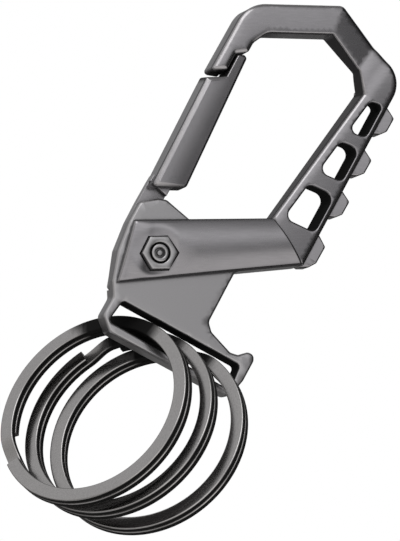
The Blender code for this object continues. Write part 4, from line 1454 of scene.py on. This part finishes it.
def opening_walls(name):
    """Shade painted on the walls of openings and into crevices, from the wall marks and ambient occlusion: a
    mask, and what is left of the metal.
    """
    group, into, out = new_group(name, {"Amount": 0.97}, ("Mask", "Metal"))
    wall = node_at(group, "ShaderNodeAttribute", (-600, 200), attribute_name="wall")
    # Ambient occlusion paints shade into crevices
    hollow = node_at(group, "ShaderNodeAmbientOcclusion", (-900, -250), {"Distance": 0.0022}, samples=8)
    crevice = node_at(group, "ShaderNodeMapRange", (-600, -250),
                      {"From Min": 0.25, "From Max": 0.72, "To Min": 0.95, "To Max": 0.0})
    darker = maths(group, "MAXIMUM", (-400, 50))
    amount = maths(group, "MULTIPLY", (-200, 0), clamp=True)
    bare = maths(group, "SUBTRACT", (0, -150), {0: 1.0})
    connect(group, (hollow, "AO", crevice, "Value"), (wall, "Fac", darker, 0), (crevice, "Result", darker, 1),
            (darker, 0, amount, 0), (into, "Amount", amount, 1), (amount, 0, out, "Mask"),
            (amount, 0, bare, 1), (bare, 0, out, "Metal"))
    return group


def group_at(tree, name, build, place, inputs=None):
    """A node for a shader group, which is built when it is first asked for."""
    group = bpy.data.node_groups.get(name) or build(name)
    return node_at(tree, "ShaderNodeGroup", place, inputs, node_tree=group)


def metal(name, base, roughness, grain, tone, stretch=1.0, turn=0.0, grain_height=0.000002):
    """A plated metal with grain, patches of gloss, worn edges, and shade painted on walls and in crevices."""
    gloss_spread = 0.08
    material = bpy.data.materials.new(name)
    material.use_nodes = True
    tree = material.node_tree
    shader = tree.nodes["Principled BSDF"]
    shader.inputs["Specular IOR Level"].default_value = 0.0
    grains = group_at(tree, "Fine grain", fine_grain, (-900, 0),
                      {"Scale": grain, "Stretch": stretch, "Turn": turn})
    wear = group_at(tree, "Edge wear", edge_wear, (-900, 300), {"Amount": finishes().wear})
    walls = group_at(tree, "Opening walls", opening_walls, (-900, 550))
    shade = spread(tree, (-650, 100), (1 - tone, 1 + tone), label="Tone of the grain")
    tint = node_at(tree, "ShaderNodeMix", (-450, 200), label="Plating", data_type="RGBA",
                   blend_type="MULTIPLY", inputs={"Factor": 1.0, MIX_A: (*base, 1.0)})
    worn = node_at(tree, "ShaderNodeMix", (-250, 250), label="Worn edges", data_type="RGBA",
                   inputs={MIX_B: (*finishes().worn_metal, 1.0)})
    # Painted shade: a darker, non-metal colour on walls and in crevices
    sunk = node_at(tree, "ShaderNodeMix", (-50, 300), label="Walls of openings", data_type="RGBA",
                   inputs={MIX_B: (*finishes().wall_shade_colour, 1.0)})
    gloss_ends = (roughness * (1 - gloss_spread), roughness * (1 + gloss_spread))
    gloss = spread(tree, (-450, -100), gloss_ends, label="Patches of gloss")
    bump = node_at(tree, "ShaderNodeBump", (-250, -250), {"Strength": 0.4, "Distance": grain_height})
    connect(tree, (grains, "Mask", shade, "Value"), (shade, "Result", tint, MIX_B),
            (tint, MIX_RESULT, worn, MIX_A), (wear, "Mask", worn, "Factor"),
            (worn, MIX_RESULT, sunk, MIX_A), (walls, "Mask", sunk, "Factor"),
            (walls, "Metal", shader, "Metallic"), (sunk, MIX_RESULT, shader, "Base Color"),
            (grains, "Patches", gloss, "Value"), (gloss, "Result", shader, "Roughness"),
            (grains, "Mask", bump, "Height"), (bump, "Normal", shader, "Normal"))
    return material


class CARABINER_OT_hook(bpy.types.Operator):
    """Build the cast hook"""

    bl_idname = "carabiner.hook"
    bl_label = "Hook"

    def execute(self, context):
        bar = hook_point(HOOK_OUTER["peak"][0]) - hook_point(HOOK_OUTER["nose"][0])
        steel = metal("gunmetal_frame", finishes().gunmetal, roughness=0.26, grain=3200.0, tone=0.05,
                      stretch=0.12, turn=math.atan2(bar.y, bar.x), grain_height=0.0000012)
        settle(build_hook(), "hook", steel, "frame")
        return {"FINISHED"}


class CARABINER_OT_gate(bpy.types.Operator):
    """Build the gate"""

    bl_idname = "carabiner.gate"
    bl_label = "Gate"

    def execute(self, context):
        steel = metal("gunmetal_gate", finishes().gate_metal, roughness=0.24, grain=4200.0, tone=0.05)
        settle(build_gate(), "gate", steel, "gate", GATE_SHARP_ANGLE)
        return {"FINISHED"}


class CARABINER_OT_plate(bpy.types.Operator):
    """Build the ring plate"""

    bl_idname = "carabiner.plate"
    bl_label = "Ring plate"

    def execute(self, context):
        steel = metal("gunmetal_plate", finishes().plate_metal, roughness=0.36, grain=6000.0, tone=0.08)
        settle(build_plate(), "hook", steel, "ring_plate")
        return {"FINISHED"}


class CARABINER_OT_pivot(bpy.types.Operator):
    """Build the pivot screw and its nut, and finish the spring"""

    bl_idname = "carabiner.pivot"
    bl_label = "Pivot"

    def execute(self, context):
        steel = metal("dark_steel", finishes().dark_steel, roughness=0.30, grain=6000.0, tone=0.06)
        settle(build_nut(), "hook", steel, "pivot_nut")
        settle(build_screw(), "hook", steel, "pivot_screw")
        wire = metal("spring_steel", finishes().spring_steel, roughness=0.30, grain=9000.0, tone=0.06)
        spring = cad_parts["gate_spring"]
        spring.data.materials.clear()
        spring.data.materials.append(wire)
        return {"FINISHED"}


class CARABINER_OT_rings(bpy.types.Operator):
    """Build the three split rings"""

    bl_idname = "carabiner.rings"
    bl_label = "Split rings"

    def execute(self, context):
        steel = metal("ring_steel", finishes().ring_steel, roughness=0.18, grain=5200.0, tone=0.14,
                      grain_height=0.000004)
        for index in range(len(RING_SHARES)):
            settle(build_ring(index), f"ring_{index + 1}", steel, f"split_ring_{index + 1}")
        return {"FINISHED"}


def aims(azimuth, elevation):
    """Unit vectors towards azimuths, zero in front and rising to the right, and elevations."""
    a, e = np.radians(azimuth), np.radians(elevation)
    return np.stack([np.sin(a) * np.cos(e), -np.cos(a) * np.cos(e), np.sin(e)], axis=-1)


def table_at(table, place):
    """What a table says at a place, in between its own."""
    return np.interp(place, *zip(*table))


def tent_levels(az, el):
    """Brightness of the studio tent by azimuth and elevation."""
    front, low = table_at(TENT_FRONT, np.abs(az)), table_at(TENT_LOW_TOP, el) * table_at(TENT_LOW_ENDS, az)
    back = table_at(TENT_BACK_ENDS, np.abs(az))
    levels = front * table_at(TENT_UPWARD, el) + (1 - front) * table_at(TENT_SIDES, el)
    levels = levels * table_at(TENT_AROUND, az) * (1 - low) + low * table_at(TENT_LOW, el)
    levels = levels * (1 - back) + back * table_at(TENT_BACK, el)
    for place, depth, reach in TENT_SHADES:
        away = np.degrees(np.arccos(np.clip(aims(az, el) @ aims(*place), -1, 1)))
        levels = levels * (1 - depth * np.exp(-(away / reach) ** 2))
    return levels


def tent():
    """A shaded studio tent that only reflections see, open where the white surround shows."""
    shape = bmesh.new()
    colours = shape.verts.layers.float_color.new("glow")
    az = np.arange(-180.0, 180.0, TENT_STEP)
    rings = []
    for row in range(TENT_FOOT, 91, TENT_STEP):
        el = np.full(len(az), float(row))
        warm = table_at(TENT_WARM, row)
        ring = []
        for direction, glow in zip(aims(az, el), tent_levels(az, el)):
            vertex = shape.verts.new(Vector(direction) * TENT_RADIUS + MIDDLE)
            vertex[colours] = (glow * (1 + WARM_RED * warm), glow, glow * (1 - WARM_BLUE * warm), 1.0)
            ring.append((vertex, glow))
        rings.append(ring)
    for low, high in zip(rings, rings[1:]):
        for i in range(len(low)):
            j = (i + 1) % len(low)
            corners = (low[i], low[j], high[j], high[i])
            if max(abs(glow - 1) for _, glow in corners) > TENT_OPEN:
                shape.faces.new([vertex for vertex, _ in corners])
    material = bpy.data.materials.new("tent")
    material.use_nodes = True
    tree = material.node_tree
    tree.nodes.remove(tree.nodes["Principled BSDF"])
    shader = node_at(tree, "ShaderNodeEmission", (0, 0))
    shade = node_at(tree, "ShaderNodeAttribute", (-300, 0), attribute_name="glow")
    connect(tree, (shade, "Color", shader, "Color"), (shader, 0, tree.nodes["Material Output"], "Surface"))
    made = placed("tent", mesh_of("tent", shape))
    made.data.materials.append(material)
    made.visible_camera = False
    made.visible_diffuse = False
    made.visible_transmission = False
    made.visible_shadow = False


def lamp(name, azimuth, elevation, distance, size, power):
    """A soft area lamp aimed at the object."""
    data = bpy.data.lights.new(name, "AREA")
    data.shape = "RECTANGLE"
    data.size, data.size_y = size
    data.energy = power
    towards = Vector(aims(azimuth, elevation))
    place = Matrix.Translation(MIDDLE + towards * distance)
    placed(name, data).matrix_world = place @ towards.to_track_quat("Z", "Y").to_matrix().to_4x4()


def studio_world():
    """A white surround for the camera, reflections and glass, dimmer for the rest."""
    world = bpy.data.worlds.new("studio")
    bpy.context.scene.world = world
    world.use_nodes = True
    tree = world.node_tree
    shade = tree.nodes["Background"]
    shade.inputs["Color"].default_value = (1.0, 1.0, 1.0, 1.0)
    rays = node_at(tree, "ShaderNodeLightPath", (-800, 0))
    first = maths(tree, "MAXIMUM", (-550, 0))
    second = maths(tree, "MAXIMUM", (-350, 0))
    strength = node_at(tree, "ShaderNodeMapRange", (-150, 0), {"To Min": 0.6, "To Max": 1.0})
    connect(tree, (rays, "Is Camera Ray", first, 0), (rays, "Is Glossy Ray", first, 1), (first, 0, second, 0),
            (rays, "Is Transmission Ray", second, 1), (second, 0, strength, "Value"),
            (strength, "Result", shade, "Strength"))


def studio_floor():
    """A plain pale floor under the object, which the metal doesn't reflect."""
    shape = bmesh.new()
    bmesh.ops.create_grid(shape, x_segments=1, y_segments=1, size=1.5)
    material = bpy.data.materials.new("floor")
    material.use_nodes = True
    shader = material.node_tree.nodes["Principled BSDF"]
    shader.inputs["Base Color"].default_value = (0.86, 0.85, 0.84, 1.0)
    shader.inputs["Roughness"].default_value = 0.9
    floor = placed("floor", mesh_of("floor", shape))
    floor.data.materials.append(material)
    floor.location = (0.0, 0.0, FLOOR_HEIGHT)
    floor.visible_glossy = False


def photo_camera():
    """The camera at the photograph's place: below the object, a little to its left, rolled."""
    roll = math.radians(PHOTO_ROLL)
    towards = Vector(aims(PHOTO_AZIMUTH, PHOTO_ELEVATION))
    right = Vector(aims(PHOTO_AZIMUTH + 90, 0.0))
    up = towards.cross(right)
    across = right * math.cos(roll) - up * math.sin(roll)
    upward = right * math.sin(roll) + up * math.cos(roll)
    centre = Vector(PHOTO_CENTRE)
    place = centre + towards * PHOTO_DISTANCE
    target = centre + across * PHOTO_AIM[0] + upward * PHOTO_AIM[1]
    back = (place - target).normalized()
    x_axis = (across - back * across.dot(back)).normalized()
    y_axis = back.cross(x_axis)
    data = bpy.data.cameras.new("camera")
    data.lens = FOCAL_PIXELS / IMAGE_HEIGHT * SENSOR_SIZE
    data.clip_start, data.clip_end = 0.01, 10.0
    camera = placed("camera", data)
    camera.matrix_world = Matrix.Translation(place) @ Matrix((x_axis, y_axis, back)).transposed().to_4x4()
    bpy.context.scene.camera = camera


class CARABINER_OT_stage(bpy.types.Operator):
    """Set up the surround, floor, reflecting tent, lamp and camera"""

    bl_idname = "carabiner.stage"
    bl_label = "Stage"

    def execute(self, context):
        context.scene.view_settings.view_transform = "Standard"
        studio_world()
        studio_floor()
        tent()
        lamp("key", azimuth=-50, elevation=32, distance=0.9, size=(0.5, 0.4), power=1.6)
        photo_camera()
        return {"FINISHED"}


class CARABINER_PT_panel(bpy.types.Panel):
    """Lists the pieces and their settings"""

    bl_label = "Carabiner keychain"
    bl_idname = "CARABINER_PT_panel"
    bl_space_type = "VIEW_3D"
    bl_region_type = "UI"
    bl_category = "Carabiner"

    def draw(self, context):
        column = self.layout.column(align=True)
        for step in STEPS:
            column.operator(step.bl_idname)
        for group in (sizes(), finishes()):
            box = self.layout.box()
            for name in group.bl_rna.properties.keys():
                if name not in ("rna_type", "name"):
                    box.prop(group, name)


STEPS = (CARABINER_OT_hook, CARABINER_OT_gate, CARABINER_OT_plate, CARABINER_OT_pivot,
         CARABINER_OT_rings, CARABINER_OT_stage)
CLASSES = (CarabinerSizes, CarabinerFinishes) + STEPS + (CARABINER_PT_panel,)


def register():
    """Adds the classes and the scene's settings."""
    for cls in CLASSES:
        bpy.utils.register_class(cls)
    bpy.types.Scene.carabiner_sizes = PointerProperty(type=CarabinerSizes)
    bpy.types.Scene.carabiner_finishes = PointerProperty(type=CarabinerFinishes)


def unregister():
    """Removes the settings and the classes."""
    del bpy.types.Scene.carabiner_finishes
    del bpy.types.Scene.carabiner_sizes
    for cls in reversed(CLASSES):
        bpy.utils.unregister_class(cls)


def main():
    """Builds every piece and the stage."""
    register()
    bpy.ops.carabiner.hook()
    bpy.ops.carabiner.gate()
    bpy.ops.carabiner.plate()
    bpy.ops.carabiner.pivot()
    bpy.ops.carabiner.rings()
    bpy.ops.carabiner.stage()


if __name__ == "__main__":
    main()
